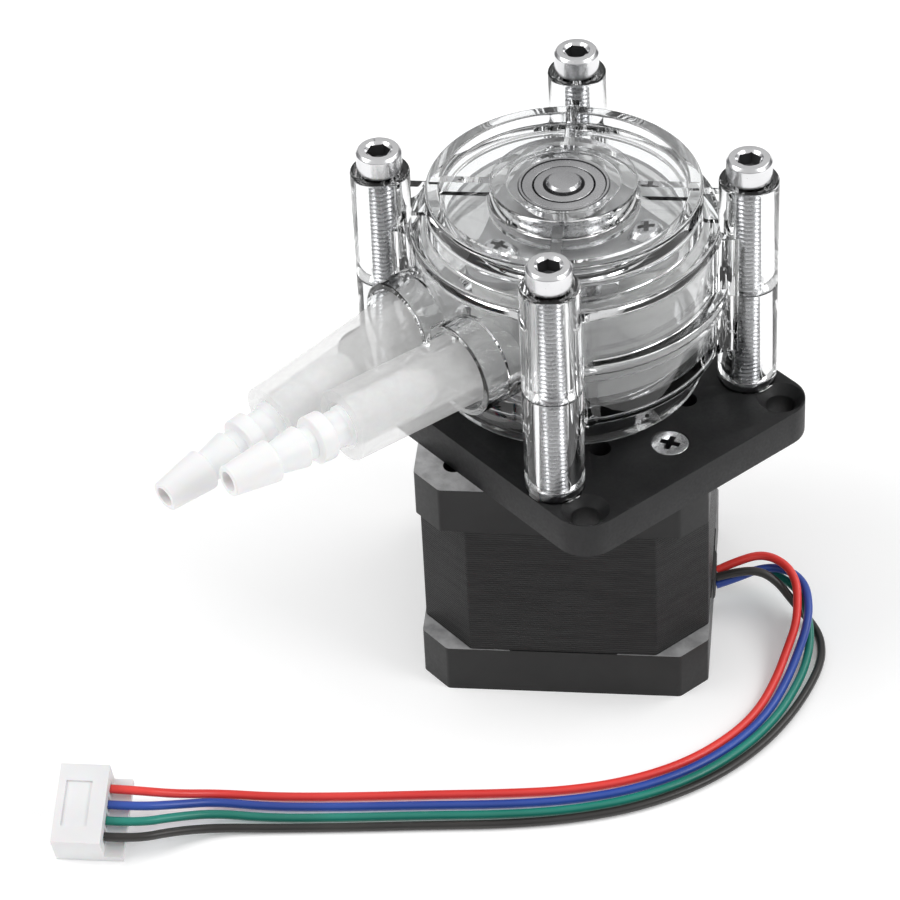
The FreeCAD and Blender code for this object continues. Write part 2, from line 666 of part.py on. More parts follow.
def rotor_hub():
    """Drive hub: a sleeve on the motor shaft, a shoulder over the upper plate and the top journal."""
    low = "(%s + 0.4)" % NECK_LOW
    top = "(hub_top - 0.2)"
    sleeve = cylinder("hub_sleeve", "rotor_hub_radius", PLATE_HIGH + " - (%s)" % low, z=low)
    journal = cylinder("hub_journal", "shaft_radius", top + " - 0.4 - (%s)" % PLATE_HIGH, z=PLATE_HIGH)
    tip = cone("hub_tip", "shaft_radius", "shaft_radius - 0.4", "0.4", z=top + " - 0.4")
    shoulder = cylinder("hub_shoulder", "shaft_radius + 0.9",
                        BEARING_SEAT + " - 0.02 - rotor_plate_thick - (%s)" % PLATE_HIGH,
                        z=PLATE_HIGH + " + rotor_plate_thick")
    bore = cylinder("hub_bore", "shaft_radius + 0.02", "motor_length + shaft_reach - (%s) + 0.6" % low,
                    z=low + " - 0.5")
    grub = cylinder("hub_grub_hole", "1.5", "8", z=GRUB_LEVEL, turn=ALONG_X)
    return node("rotor_hub", cut("hub_cut", fuse("hub_body", sleeve, journal, tip, shoulder), bore, grub))


def rotor_set_screw():
    """Cup-point grub screw that bears on the shaft's flat."""
    start = "shaft_radius - flat_depth + 0.02"
    rod = cylinder("grub_rod", "1.45", "rotor_hub_radius - shaft_radius + flat_depth - 0.1", start, "0",
                   GRUB_LEVEL, ALONG_X)
    drive = prism("grub_drive", "0.85", "1.2")
    place(drive, "rotor_hub_radius - 1.0", "0", GRUB_LEVEL, ALONG_X)
    return node("rotor_set_screw", cut("grub_cut", rod, drive))


def roller_pins():
    """Three shoulder pins between the plates, threaded at both ends."""
    pins = []
    for index, (x, y) in enumerate(pin_places()):
        rod = cylinder("pin_%d_rod" % index, "pin_radius", "roller_length + 0.6", x, y, "split_level - roller_length / 2 - 0.3")
        hole = cylinder("pin_%d_hole" % index, "screw_radius + 0.02", "roller_length + 1", x, y,
                        "split_level - roller_length / 2 - 0.5")
        pins.append(cut("pin_%d" % index, rod, hole))
    return node("roller_pins", group("pin_set", *pins))


def rotor_screws():
    """Three pan-head screws that hold the upper plate on the pins."""
    screws = []
    for index, (x, y) in enumerate(pin_places()):
        top = PLATE_HIGH + " + rotor_plate_thick"
        shank = cylinder("pan_%d_shank" % index, "screw_radius", "6.5", x, y, top + " - 6")
        head = cylinder("pan_%d_head" % index, "screw_head_radius", "1.2", x, y, top)
        crown = cone("pan_%d_crown" % index, "screw_head_radius", "screw_head_radius - 0.9", "0.6", x, y, top + " + 1.2")
        slots = [box("pan_%d_slot_a" % index, "2.6", "0.6", "1.2", "%s - 1.3" % x, "%s - 0.3" % y, top + " + 0.8"),
                 box("pan_%d_slot_b" % index, "0.6", "2.6", "1.2", "%s - 0.3" % x, "%s - 1.3" % y, top + " + 0.8")]
        screws.append(cut("pan_%d" % index, fuse("pan_%d_body" % index, shank, head, crown), *slots))
    return node("rotor_screws", group("pan_set", *screws))


def lower_screws():
    """Three threaded studs from the lower plate into the pins, flush with the plate."""
    screws = []
    for index, (x, y) in enumerate(pin_places()):
        shank = cylinder("low_%d_shank" % index, "screw_radius", "5.5", x, y, PLATE_LOW + " + 0.02")
        screws.append(shank)
    return node("rotor_lower_studs", group("low_set", *screws))


def roller(index):
    """A plain hollow roller on its pin."""
    x, y = pin_places()[index]
    start = "split_level - roller_length / 2"
    barrel = cylinder("roller_%d_barrel" % index, "roller_radius", "roller_length", x, y, start)
    bore = cylinder("roller_%d_bore" % index, "roller_bore", "roller_length + 1", x, y, start + " - 0.5")
    return node("roller_%d" % (index + 1), cut("roller_%d_cut" % index, barrel, bore))


# ---------------------------------------------------------------- tube and its connectors

# Centre lines outside the casing: the level inlet tube (+X) and the drooping outlet tube (-X).
INLET_RUN = [V(6.6, -16.4, 61.5), V(6.6, -21.2, 61.5), V(5.34, -44.8, 61.5)]
OUTLET_RUN = [V(-6.6, -16.4, 61.5), V(-6.6, -21.2, 61.5), V(-5.44, -48.9, 58.12)]


def rounded_run(points):
    """Straight runs joined by arcs that touch both runs; returns the wire and the arc radii."""
    pieces, radii = [], []
    start = points[0]
    for before, corner, after in zip(points, points[1:], points[2:]):
        back, ahead = before - corner, after - corner
        shorter = min(back.Length, ahead.Length)
        half_turn = (math.pi - back.getAngle(ahead)) / 2
        trim = 0.45 * shorter
        radius = trim / math.tan(half_turn)
        back.normalize()
        ahead.normalize()
        enter, leave = corner + back * trim, corner + ahead * trim
        inward = (back + ahead).normalize()
        middle = corner + inward * (radius / math.cos(half_turn) - radius)
        pieces.append(Part.LineSegment(start, enter).toShape())
        pieces.append(Part.Arc(enter, middle, leave).toShape())
        radii.append(radius)
        start = leave
    pieces.append(Part.LineSegment(start, points[-1]).toShape())
    return Part.Wire(pieces), radii


def swept(name, points, radius):
    """A round section carried along a rounded run."""
    path, radii = rounded_run(points)
    heading = points[1] - points[0]
    section = Part.Wire(Part.makeCircle(radius, points[0], heading))
    solid = path.makePipeShell([section], True, True)
    holder = doc.addObject("Part::Feature", name)
    holder.Shape = solid
    holder.Placement = FreeCAD.Placement()
    expected = math.pi * radius * radius * path.Length
    print("%-18s length %6.1f  radii %s" % (name, path.Length, " ".join("%.1f" % bend for bend in radii)))
    print("%-18s volume %.2f  section x length %.2f" % (name, solid.Volume, expected))
    if abs(solid.Volume - expected) > 0.01 * expected:
        raise RuntimeError(name + " does not keep its section")
    return holder


def onward(points, length):
    """A point beyond the end of a run, in the direction of its last piece."""
    heading = (points[-1] - points[-2]).normalize()
    return points[-1] + heading * length


def tube_loop():
    """The tube pressed flat against the raceway, open over the two sockets."""
    middle = "(tube_inner_face + tube_outer_face) / 2"
    round_end = "(tube_outer_face - tube_inner_face) / 2"
    height = "2 * (tube_half_height - %s)" % round_end
    wall = ring("loop_wall", "tube_outer_face", "tube_inner_face", height, "split_level - (%s) / 2" % height)
    beads = []
    for index, side in enumerate(("+", "-")):
        bead = doc.addObject("Part::Torus", "loop_bead_%d" % index)
        bind(bead, Radius1=middle, Radius2=round_end)
        beads.append(place(bead, z="split_level %s (tube_half_height - %s)" % (side, round_end)))
    whole = fuse("loop_whole", wall, *beads)
    gap = doc.addObject("Part::Cylinder", "loop_gap")
    bind(gap, Radius="tube_outer_face + 2", Height="2 * tube_half_height + 2")
    gap.Angle = 42
    place(gap, z="split_level - tube_half_height - 1", turn=FreeCAD.Rotation(ABOUT_Z, 249))
    return cut("loop_open", whole, gap)


def pump_tube():
    """One tube: both straight legs and the flattened loop, with its bore all the way through."""
    radius, bore = size("tube_radius"), size("tube_bore")
    legs = [swept("inlet_leg", INLET_RUN, radius), swept("outlet_leg", OUTLET_RUN, radius)]
    whole = fuse("tube_whole", tube_loop(), *legs)
    bores = []
    for name, run in (("inlet", INLET_RUN), ("outlet", OUTLET_RUN)):
        inner_run = [run[0] + V(0, -0.5, 0), run[1], onward(run, 1.0)]
        bores.append(swept(name + "_bore", inner_run, bore))
    middle = "(tube_inner_face + tube_outer_face) / 2"
    slit = ring("tube_slit", middle + " + tube_lumen / 2", middle + " - tube_lumen / 2", "2 * tube_half_height - 4",
                "split_level - tube_half_height + 2")
    window = box("slit_window", "2 * port_offset", "12", "20", "-port_offset", "-30", "split_level - 10")
    return node("pump_tube", cut("tube_cut", whole, cut("slit_open", slit, window), *bores))


def tube_connector(label, run, drawn_out):
    """A reducing connector: a small barb outside, a collar, and a barbed spigot in the tube."""
    collar = "connector_outside"
    inside = "connector_outside + connector_inside"
    snug = "tube_bore - 0.05"
    waist = "tube_bore - 0.6"
    profile = [("connector_bore", "0"), ("barb_tip", "0"), ("barb_radius", "6.6"), ("barb_radius", "7.0"),
               ("barb_tip", "7.3"), ("barb_radius", "11.7"), ("barb_radius - 0.6", "12.1"),
               ("barb_radius - 0.6", collar + " - 5.4"), ("collar_radius", collar + " - 5.1"),
               ("collar_radius", collar + " - 2.8"), ("barb_radius - 0.35", collar + " - 2.6"),
               (waist, collar + " - 0.1"), (waist, collar + " + 2.7"), (snug, collar + " + 3.1"),
               (waist, collar + " + 6.7"), (snug, collar + " + 7.1"), (waist, collar + " + 10.7"),
               (snug, collar + " + 11.1"), ("barb_tip", inside), ("connector_bore", inside)]
    tip = onward(run, size("connector_outside") + drawn_out)
    turn = FreeCAD.Rotation(ABOUT_Z, run[-1] - tip)
    return node(label, revolved(label + "_body", profile, turn, "%.5f" % tip.x, "%.5f" % tip.y, "%.5f" % tip.z))


# ---------------------------------------------------------------- wires and plug

# Each wire leaves the bush, arches over, falls to the bench and runs to the plug.
WIRES = {
    "wire_red": [
        V(14.7, 15.8, 5.7), V(16.2, 18.8, 6.9), V(18.2, 22.1, 7.6), V(21.7, 23.3, 7.3), V(24.8, 22.7, 6.3),
        V(27.5, 20.5, 5.1), V(30.1, 17.7, 3.8), V(32.3, 13.7, 2.4), V(34.7, 9.4, 1.2), V(37.5, 3.3, 0.7),
        V(38.9, -3.5, 0.7), V(38.6, -12.0, 0.7), V(35.9, -20.7, 0.7), V(31.5, -28.5, 0.7), V(25.9, -35.7, 0.7),
        V(19.0, -43.8, 0.7), V(11.7, -52.6, 0.7), V(4.5, -60.9, 0.8), V(-0.5, -67.1, 1.9), V(-2.6, -72.9, 4.1),
        V(-4.85, -77.4, 6.0)],
    "wire_blue": [
        V(15.8, 14.7, 4.2), V(17.3, 17.5, 4.9), V(18.8, 21.4, 5.7), V(21.5, 23.9, 5.7), V(25.1, 24.1, 5.3),
        V(28.5, 21.9, 4.7), V(31.4, 18.7, 3.7), V(33.8, 14.5, 2.3), V(36.1, 10.0, 1.0), V(38.9, 3.8, 0.7),
        V(40.4, -3.4, 0.7), V(40.2, -12.3, 0.7), V(37.7, -21.4, 0.7), V(33.2, -29.6, 0.7), V(27.6, -37.1, 0.7),
        V(20.6, -45.2, 0.7), V(13.2, -54.0, 0.7), V(5.8, -62.5, 0.8), V(0.3, -68.4, 1.7), V(-1.5, -74.0, 3.5),
        V(-3.2, -79.0, 5.15)],
    "wire_green": [
        V(14.7, 15.8, 4.2), V(16.3, 19.0, 4.6), V(18.4, 22.2, 4.4), V(21.8, 23.4, 4.1), V(25.3, 23.2, 3.75),
        V(28.7, 21.4, 3.1), V(32.4, 18.6, 2.1), V(35.2, 14.9, 0.9), V(37.6, 10.6, 0.7), V(40.3, 4.4, 0.7),
        V(41.9, -3.2, 0.7), V(41.9, -12.5, 0.7), V(39.4, -22.0, 0.7), V(34.9, -30.6, 0.7), V(29.2, -38.4, 0.7),
        V(22.2, -46.5, 0.7), V(14.8, -55.4, 0.7), V(7.5, -64.0, 0.8), V(2.1, -69.6, 1.5), V(0.1, -75.1, 3.0),
        V(-1.5, -80.7, 4.3)],
    "wire_black": [
        V(15.8, 14.7, 5.7), V(17.6, 17.3, 6.5), V(19.8, 20.0, 6.5), V(22.2, 21.4, 5.0), V(24.9, 21.9, 2.7),
        V(28.2, 22.2, 1.0), V(32.2, 20.9, 0.7), V(36.0, 17.4, 0.7), V(39.0, 12.0, 0.7), V(41.8, 4.9, 0.7),
        V(43.5, -3.1, 0.7), V(43.5, -12.7, 0.7), V(41.0, -22.7, 0.7), V(36.4, -31.6, 0.7), V(30.7, -39.6, 0.7),
        V(23.7, -47.8, 0.7), V(16.3, -56.7, 0.7), V(8.9, -65.3, 0.7), V(4.2, -71.0, 1.1), V(1.7, -76.6, 2.3),
        V(0.15, -82.35, 3.45)],
}
PLUG_TILT = 20.0
PLUG_LOW_CORNER = V(-7.08, -91.36, 0.06)


def plug_turn():
    """The plug lies with its length along +X+Y, rolled so its near long edge rests on the bench."""
    along = V(1, 1, 0).normalize()
    return FreeCAD.Rotation(along, PLUG_TILT).multiply(FreeCAD.Rotation(ABOUT_Z, 45))


def in_plug(name, length, width, height, x, y, z):
    """A box given in the plug's own frame: x along its length, y across it, z through it."""
    corner = PLUG_LOW_CORNER + plug_turn().multVec(V(x, y, z))
    return box(name, length, width, height, "%.6f" % corner.x, "%.6f" % corner.y, "%.6f" % corner.z, plug_turn())


def way(index):
    """Distance of one wire way from the plug's low edge; the first is the black wire's."""
    return size("plug_side") + index * size("plug_pitch")


def connector_housing():
    """Four-way plug: a body with square ways and a shelf under the wires."""
    body = in_plug("plug_body", "plug_length", "plug_width", "plug_thick", 0, 0, 0)
    entry = size("plug_length") - size("plug_step")
    tools = [in_plug("plug_shelf", "plug_step + 0.1", "plug_width + 0.2", "plug_thick", entry, -0.1, size("plug_shelf"))]
    half = size("plug_hole") / 2
    for index in range(4):
        tools.append(in_plug("plug_way_%d" % index, "plug_length - plug_step + 0.2", "plug_hole", "plug_hole",
                             -0.1, way(index) - half, size("plug_middle") - half))
    tools.append(in_plug("plug_recess", "3.8", "plug_width - 5.2", "1", 1.1, 2.6, size("plug_thick") - 0.35))
    return node("connector_housing", cut("plug_cut", body, *tools))


def connector_terminals():
    """A crimped socket in each way, open at the front."""
    terminals = []
    entry = size("plug_length") - size("plug_step")
    half = size("plug_hole") / 2 - 0.04
    for index in range(4):
        low = [way(index) - half, size("plug_middle") - half]
        shell = in_plug("terminal_%d_shell" % index, "plug_length - plug_step - 0.5", "plug_hole - 0.08",
                        "plug_hole - 0.08", 0.5, *low)
        socket = in_plug("terminal_%d_socket" % index, "4.5", "plug_hole - 0.58", "plug_hole - 0.58",
                         0.4, low[0] + 0.25, low[1] + 0.25)
        terminals.append(cut("terminal_%d" % index, shell, socket))
    return node("connector_terminals", group("terminal_set", *terminals))


def wires():
    entry = size("plug_length") - size("plug_step")
    for index, label in enumerate(("wire_black", "wire_green", "wire_blue", "wire_red")):
        end = PLUG_LOW_CORNER + plug_turn().multVec(V(entry, way(index), size("plug_middle")))
        print(label, "ends at", [round(value, 3) for value in end])
        node(label, swept(label + "_run", WIRES[label] + [end], size("wire_radius")))


def build_frame_parts():
    motor_rear_bell()
    motor_front_bell()
    motor_stator()
    motor_windings()
    motor_screws()
    motor_wire_bush()
    motor_wave_washer()
    motor_shaft()
    motor_magnet()
    adapter_plate()
    plate_screws()
    casing_base()
    casing_cover()
    casing_bolts()
    pump_tube()
    tube_connector("tube_connector_inlet", INLET_RUN, 0.0)
    tube_connector("tube_connector_outlet", OUTLET_RUN, 0.6)
    wires()
    connector_housing()
    connector_terminals()


def build_rotor_parts():
    rotor_hub()
    rotor_set_screw()
    rotor_plate("rotor_plate_upper", PLATE_HIGH, "shaft_radius + 0.05")
    rotor_plate("rotor_plate_lower", PLATE_LOW, "rotor_hub_radius + 0.03")
    roller_pins()
    rotor_screws()
    lower_screws()
    for index in range(3):
        roller(index)
    bearing("pump_bearing", "pump_bearing_outer", "pump_bearing_width", BEARING_SEAT)
    bearing_shields()
    bearing("motor_front_bearing", "motor_bearing_outer", "motor_bearing_width",
            "(motor_length - 1.6 - motor_bearing_width)")
    bearing("motor_rear_bearing", "motor_bearing_outer", "motor_bearing_width", "2.2")


def check_and_write():
    doc.recompute()
    for thing in doc.Objects:
        broken = [state for state in thing.State if state in ("Invalid", "Error")]
        if broken:
            raise RuntimeError("%s (%s) is %s" % (thing.Name, thing.Label, broken))
    for label, thing in NODES.items():
        if thing.Shape.isNull() or not thing.Shape.isValid():
            raise RuntimeError(label + " has no valid shape")
    os.makedirs("parts", exist_ok=True)
    for label, thing in NODES.items():
        thing.Shape.exportStep("parts/%s.step" % label)
        print("%-26s solids %2d  volume %9.1f" % (label, len(thing.Shape.Solids), thing.Shape.Volume))


build_frame_parts()
build_rotor_parts()
check_and_write()
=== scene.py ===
"""Looks for the peristaltic pump, drawn in millimetres in the row frame and then scaled to metres."""
import math

import bmesh
import bpy
from mathutils import Matrix, Vector


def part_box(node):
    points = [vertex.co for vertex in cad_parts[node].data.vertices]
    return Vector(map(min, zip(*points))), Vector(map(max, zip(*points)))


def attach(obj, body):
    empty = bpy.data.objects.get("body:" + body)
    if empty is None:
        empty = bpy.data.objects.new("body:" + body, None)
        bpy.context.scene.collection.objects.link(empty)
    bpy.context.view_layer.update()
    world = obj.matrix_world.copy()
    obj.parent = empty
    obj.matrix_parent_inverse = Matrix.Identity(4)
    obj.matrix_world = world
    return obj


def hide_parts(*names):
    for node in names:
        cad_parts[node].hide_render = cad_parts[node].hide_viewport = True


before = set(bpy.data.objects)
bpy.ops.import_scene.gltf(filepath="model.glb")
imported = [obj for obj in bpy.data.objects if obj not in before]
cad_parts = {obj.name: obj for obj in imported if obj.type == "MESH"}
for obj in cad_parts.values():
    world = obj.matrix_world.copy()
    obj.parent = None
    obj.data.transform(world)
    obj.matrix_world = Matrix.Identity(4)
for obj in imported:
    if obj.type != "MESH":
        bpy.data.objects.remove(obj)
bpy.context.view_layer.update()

MM = 0.001
ROUND = 96          # facets round a large turned piece
SMALL_ROUND = 48    # facets round a screw or a pin
SCENE = bpy.context.scene


def low(node):
    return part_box(node)[0] / MM


def high(node):
    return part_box(node)[1] / MM


# ---------------------------------------------------------------- levels read from the frame

MOTOR_TOP = low("adapter_plate").z
PLATE_TOP = high("adapter_plate").z
REAR_BELL_TOP = high("motor_rear_bell").z
STACK_TOP = high("motor_stator").z
SPLIT = low("casing_cover").z
POST_TOP = high("casing_cover").z
BOLT_TOP = high("casing_bolts").z
BEARING_LOW = low("pump_bearing_outer_ring").z
BEARING_TOP = high("pump_bearing_outer_ring").z
ROTOR_TOP = high("rotor_plate_upper").z
ROTOR_LOW = low("rotor_plate_lower").z
HUB_LOW = low("rotor_hub").z
BORE_END = 63.1               # closed end of the hub's bore, above the motor shaft
JOURNAL_TOP = high("rotor_hub").z
ROLLER_LOW = low("roller_1").z
ROLLER_TOP = high("roller_1").z
PORT_FACE = -low("casing_cover").y
POST = high("casing_bolts").x - 3.25
PLATE_X = high("adapter_plate").x
PLATE_Y = high("adapter_plate").y

SHOULDER = 10.2               # half height of the wide part of the drum
NECK_LOW = SPLIT - SHOULDER
NECK_HIGH = SPLIT + SHOULDER
SKIRT_LOW = PLATE_TOP + 2.0
RIM_TOP = POST_TOP - 1.9
LID_TOP = RIM_TOP - 1.8
LID_UNDER = LID_TOP - 2.0
HUB_TOP = RIM_TOP + 1.0
DRUM_R, LIP_R, NECK_R, RACE_R, WELL_R, HUB_R = 22.0, 23.5, 19.5, 20.6, 17.5, 10.5
POST_R, BOLT_HOLE_R = 4.25, 2.15
PORT_X, PORT_R, PORT_BORE_R, PORT_MOUTH_R = 6.6, 6.8, 5.25, 5.9
PIN_CIRCLE = 12.0
PIN_ANGLES = (-90, 30, 150)
MOTOR_SIDE = 42.3
TIE_R = 21.92                 # motor screws, on the X and Y axes
CORNERS = [(sx * POST, sy * POST) for sx in (1, -1) for sy in (1, -1)]
SIGNS = ((-1, -1), (1, -1), (1, 1), (-1, 1))


# ---------------------------------------------------------------- outlines

def rounded(outline, steps=5):
    """A closed outline of (a, b) or (a, b, radius) corners, with the marked corners as arcs."""
    points = []
    count = len(outline)
    for index, corner in enumerate(outline):
        here = Vector(corner[:2])
        if len(corner) < 3:
            points.append(here)
            continue
        back = (Vector(outline[index - 1][:2]) - here).normalized()
        ahead = (Vector(outline[(index + 1) % count][:2]) - here).normalized()
        half = back.angle(ahead) / 2
        trim = corner[2] / math.tan(half)
        centre = here + (back + ahead).normalized() * (corner[2] / math.sin(half))
        start, end = here + back * trim - centre, here + ahead * trim - centre
        turn = math.atan2(start.cross(end), start.dot(end))
        for step in range(steps + 1):
            angle = turn * step / steps
            points.append(centre + Matrix.Rotation(angle, 2) @ start)
    return points


def along(x, y, z, direction=(0, 0, 1)):
    """Places a piece drawn about +Z at a point, with +Z turned to a direction."""
    return Matrix.Translation((x, y, z)) @ Vector(direction).to_track_quat("Z", "Y").to_matrix().to_4x4()


def turned_about_z(degrees):
    return Matrix.Rotation(math.radians(degrees), 4, "Z")


# ---------------------------------------------------------------- meshes

def wall_between(bm, lower, upper):
    """Joins two rings of the same count with a band of faces."""
    count = len(lower)
    for index in range(count):
        after = (index + 1) % count
        bm.faces.new((lower[index], lower[after], upper[after], upper[index]))


def circle_points(radius, count):
    turns = [2 * math.pi * index / count for index in range(count)]
    return [(radius * math.cos(turn), radius * math.sin(turn)) for turn in turns]


def add_object(name, bm, placing=None):
    bmesh.ops.recalc_face_normals(bm, faces=bm.faces)
    mesh = bpy.data.meshes.new(name)
    bm.to_mesh(mesh)
    bm.free()
    if placing is not None:
        mesh.transform(placing)
    obj = bpy.data.objects.new(name, mesh)
    SCENE.collection.objects.link(obj)
    return obj


def lathe(name, outline, placing=None, segments=ROUND, steps=5):
    """A solid turned about Z from a closed outline of (radius, height)."""
    points = rounded(outline, steps)
    bm = bmesh.new()
    rings = []
    for radius, height in points:
        if radius < 1e-6:
            rings.append([bm.verts.new((0, 0, height))])
            continue
        rings.append([bm.verts.new((x, y, height)) for x, y in circle_points(radius, segments)])
    for ring, following in zip(rings, rings[1:] + rings[:1]):
        if len(ring) == 1 and len(following) == 1:
            continue
        for index in range(segments):
            after = (index + 1) % segments
            corners = [ring[index % len(ring)], ring[after % len(ring)],
                       following[after % len(following)], following[index % len(following)]]
            bm.faces.new(list(dict.fromkeys(corners)))
    return add_object(name, bm, placing)


def prism(name, outline, bottom, top, placing=None, steps=8):
    """An upright solid over a closed outline in X and Y."""
    points = rounded(outline, steps)
    bm = bmesh.new()
    lower = [bm.verts.new((x, y, bottom)) for x, y in points]
    upper = [bm.verts.new((x, y, top)) for x, y in points]
    bm.faces.new(lower[::-1])
    bm.faces.new(upper)
    wall_between(bm, lower, upper)
    return add_object(name, bm, placing)


def block(name, low_corner, high_corner, placing=None):
    (x0, y0, z0), (x1, y1, z1) = low_corner, high_corner
    return prism(name, [(x0, y0), (x1, y0), (x1, y1), (x0, y1)], z0, z1, placing)


def rod(name, radius, length, placing=None, segments=SMALL_ROUND):
    return lathe(name, [(0, 0), (radius, 0), (radius, length), (0, length)], placing, segments)


def settle(obj):
    """Applies an object's modifiers to its mesh."""
    graph = bpy.context.evaluated_depsgraph_get()
    mesh = bpy.data.meshes.new_from_object(obj.evaluated_get(graph))
    obj.modifiers.clear()
    obj.data = mesh
    return obj


def combine(obj, operation, tools):
    """Boolean with each tool in turn; the tools are used up."""
    for tool in tools:
        step = obj.modifiers.new("step", "BOOLEAN")
        step.operation = operation
        step.solver = "EXACT"
        step.object = tool
    bpy.context.view_layer.update()
    settle(obj)
    for tool in tools:
        bpy.data.objects.remove(tool)
    return obj


def union(obj, *tools):
    return combine(obj, "UNION", tools)


def carve(obj, *tools):
    return combine(obj, "DIFFERENCE", tools)


def clip(obj, tool):
    return combine(obj, "INTERSECT", [tool])


def soften(obj, width, segments=2, angle=35):
    """Rounds the sharp edges."""
    bevel = obj.modifiers.new("edges", "BEVEL")
    bevel.width = width
    bevel.segments = segments
    bevel.limit_method = "ANGLE"
    bevel.angle_limit = math.radians(angle)
    bevel.use_clamp_overlap = True
    return settle(obj)


def merge(name, parts):
    """Several separate solids as one piece."""
    bm = bmesh.new()
    for part in parts:
        bm.from_mesh(part.data)
        bpy.data.objects.remove(part)
    return add_object(name, bm)


def piece(obj, material, body, nodes=(), smooth=32):
    """Scales a finished piece to metres, shades it and ties it to its CAD body and nodes."""
    obj.data.transform(Matrix.Scale(MM, 4))
    for face in obj.data.polygons:
        face.use_smooth = True
    obj.data.set_sharp_from_angle(angle=math.radians(smooth))
    if material is not None:
        obj.data.materials.clear()
        obj.data.materials.append(material)
    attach(obj, body)
    if nodes:
        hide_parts(*nodes)
    return obj


# ---------------------------------------------------------------- materials

def new_material(name):
    material = bpy.data.materials.new(name)
    material.use_nodes = True
    nodes = material.node_tree.nodes
    return material, nodes, material.node_tree.links, nodes["Principled BSDF"]


def object_coordinates(nodes, links, stretch=(1, 1, 1)):
    place = nodes.new("ShaderNodeTexCoord")
    mapping = nodes.new("ShaderNodeMapping")
    mapping.inputs["Scale"].default_value = stretch
    links.new(place.outputs["Object"], mapping.inputs["Vector"])
    return mapping.outputs["Vector"]


def noise(nodes, links, vector, scale, detail=4.0, roughness=0.6):
    texture = nodes.new("ShaderNodeTexNoise")
    texture.inputs["Scale"].default_value = scale
    texture.inputs["Detail"].default_value = detail
    texture.inputs["Roughness"].default_value = roughness
    links.new(vector, texture.inputs["Vector"])
    return texture.outputs["Fac"]


def spread(nodes, links, value, lowest, highest):
    """A noise value, mostly 0.3 to 0.7, stretched over a range."""
    ranged = nodes.new("ShaderNodeMapRange")
    ranged.inputs["From Min"].default_value = 0.3
    ranged.inputs["From Max"].default_value = 0.7
    ranged.inputs["To Min"].default_value = lowest
    ranged.inputs["To Max"].default_value = highest
    links.new(value, ranged.inputs["Value"])
    return ranged.outputs["Result"]


def tint(nodes, links, value, dark, light):
    ramp = nodes.new("ShaderNodeValToRGB")
    ramp.color_ramp.elements[0].position = 0.35
    ramp.color_ramp.elements[0].color = (*dark, 1)
    ramp.color_ramp.elements[1].position = 0.65
    ramp.color_ramp.elements[1].color = (*light, 1)
    links.new(value, ramp.inputs["Fac"])
    return ramp.outputs["Color"]


def bump(nodes, links, value, strength, distance, shader):
    relief = nodes.new("ShaderNodeBump")
    relief.inputs["Strength"].default_value = strength
    relief.inputs["Distance"].default_value = distance
    links.new(value, relief.inputs["Height"])
    links.new(relief.outputs["Normal"], shader.inputs["Normal"])


def surface(name, dark, light, rough, metallic=0.0, scale=900.0, relief=0.12, depth=0.00002,
            stretch=(1, 1, 1), **sockets):
    """A finish with fine colour, gloss and height variation from one noise."""
    material, nodes, links, shader = new_material(name)
    vector = object_coordinates(nodes, links, stretch)
    grain = noise(nodes, links, vector, scale)
    broad = noise(nodes, links, vector, scale / 14, detail=2.0)
    links.new(tint(nodes, links, broad, dark, light), shader.inputs["Base Color"])
    links.new(spread(nodes, links, grain, rough[0], rough[1]), shader.inputs["Roughness"])
    bump(nodes, links, grain, relief, depth, shader)
    shader.inputs["Metallic"].default_value = metallic
    for socket, value in sockets.items():
        shader.inputs[socket.replace("_", " ")].default_value = value
    return material


def corner_metal(name, dark, light):
    """Machined aluminium that shows only past the stack's cut corners; the narrow ledges keep their paint."""
    material, nodes, links, shader = new_material(name)
    vector = object_coordinates(nodes, links)
    grain = noise(nodes, links, vector, 1500.0)
    broad = noise(nodes, links, vector, 420.0, detail=3.0)
    place = nodes.new("ShaderNodeSeparateXYZ")
    links.new(vector, place.inputs["Vector"])
    sizes = []
    for axis in ("X", "Y"):
        size = nodes.new("ShaderNodeMath")
        size.operation = "ABSOLUTE"
        links.new(place.outputs[axis], size.inputs[0])
        sizes.append(size.outputs["Value"])
    furthest = nodes.new("ShaderNodeMath")
    furthest.operation = "MAXIMUM"
    links.new(sizes[0], furthest.inputs[0])
    links.new(sizes[1], furthest.inputs[1])
    bare = nodes.new("ShaderNodeMath")
    bare.operation = "GREATER_THAN"
    bare.inputs[1].default_value = 0.0205
    links.new(furthest.outputs["Value"], bare.inputs[0])
    colour = nodes.new("ShaderNodeMix")
    colour.data_type = "RGBA"
    colour.inputs[6].default_value = (0.010, 0.010, 0.010, 1)
    links.new(bare.outputs["Value"], colour.inputs[0])
    links.new(tint(nodes, links, broad, dark, light), colour.inputs[7])
    links.new(colour.outputs[2], shader.inputs["Base Color"])
    links.new(spread(nodes, links, grain, 0.40, 0.55), shader.inputs["Roughness"])
    bump(nodes, links, grain, 0.2, 0.00002, shader)
    return material


def clear_plastic():
    """Moulded clear plastic: a slight ripple in the surface and a faint cool tint."""
    material, nodes, links, shader = new_material("clear_plastic")
    vector = object_coordinates(nodes, links)
    ripple = noise(nodes, links, vector, 160.0, detail=2.0)
    fine = noise(nodes, links, vector, 900.0, detail=3.0)
    links.new(spread(nodes, links, fine, 0.0, 0.02), shader.inputs["Roughness"])
    bump(nodes, links, ripple, 0.02, 0.0003, shader)
    shader.inputs["Base Color"].default_value = (0.975, 0.982, 0.985, 1)
    shader.inputs["Transmission Weight"].default_value = 1.0
    shader.inputs["IOR"].default_value = 1.49
    return material


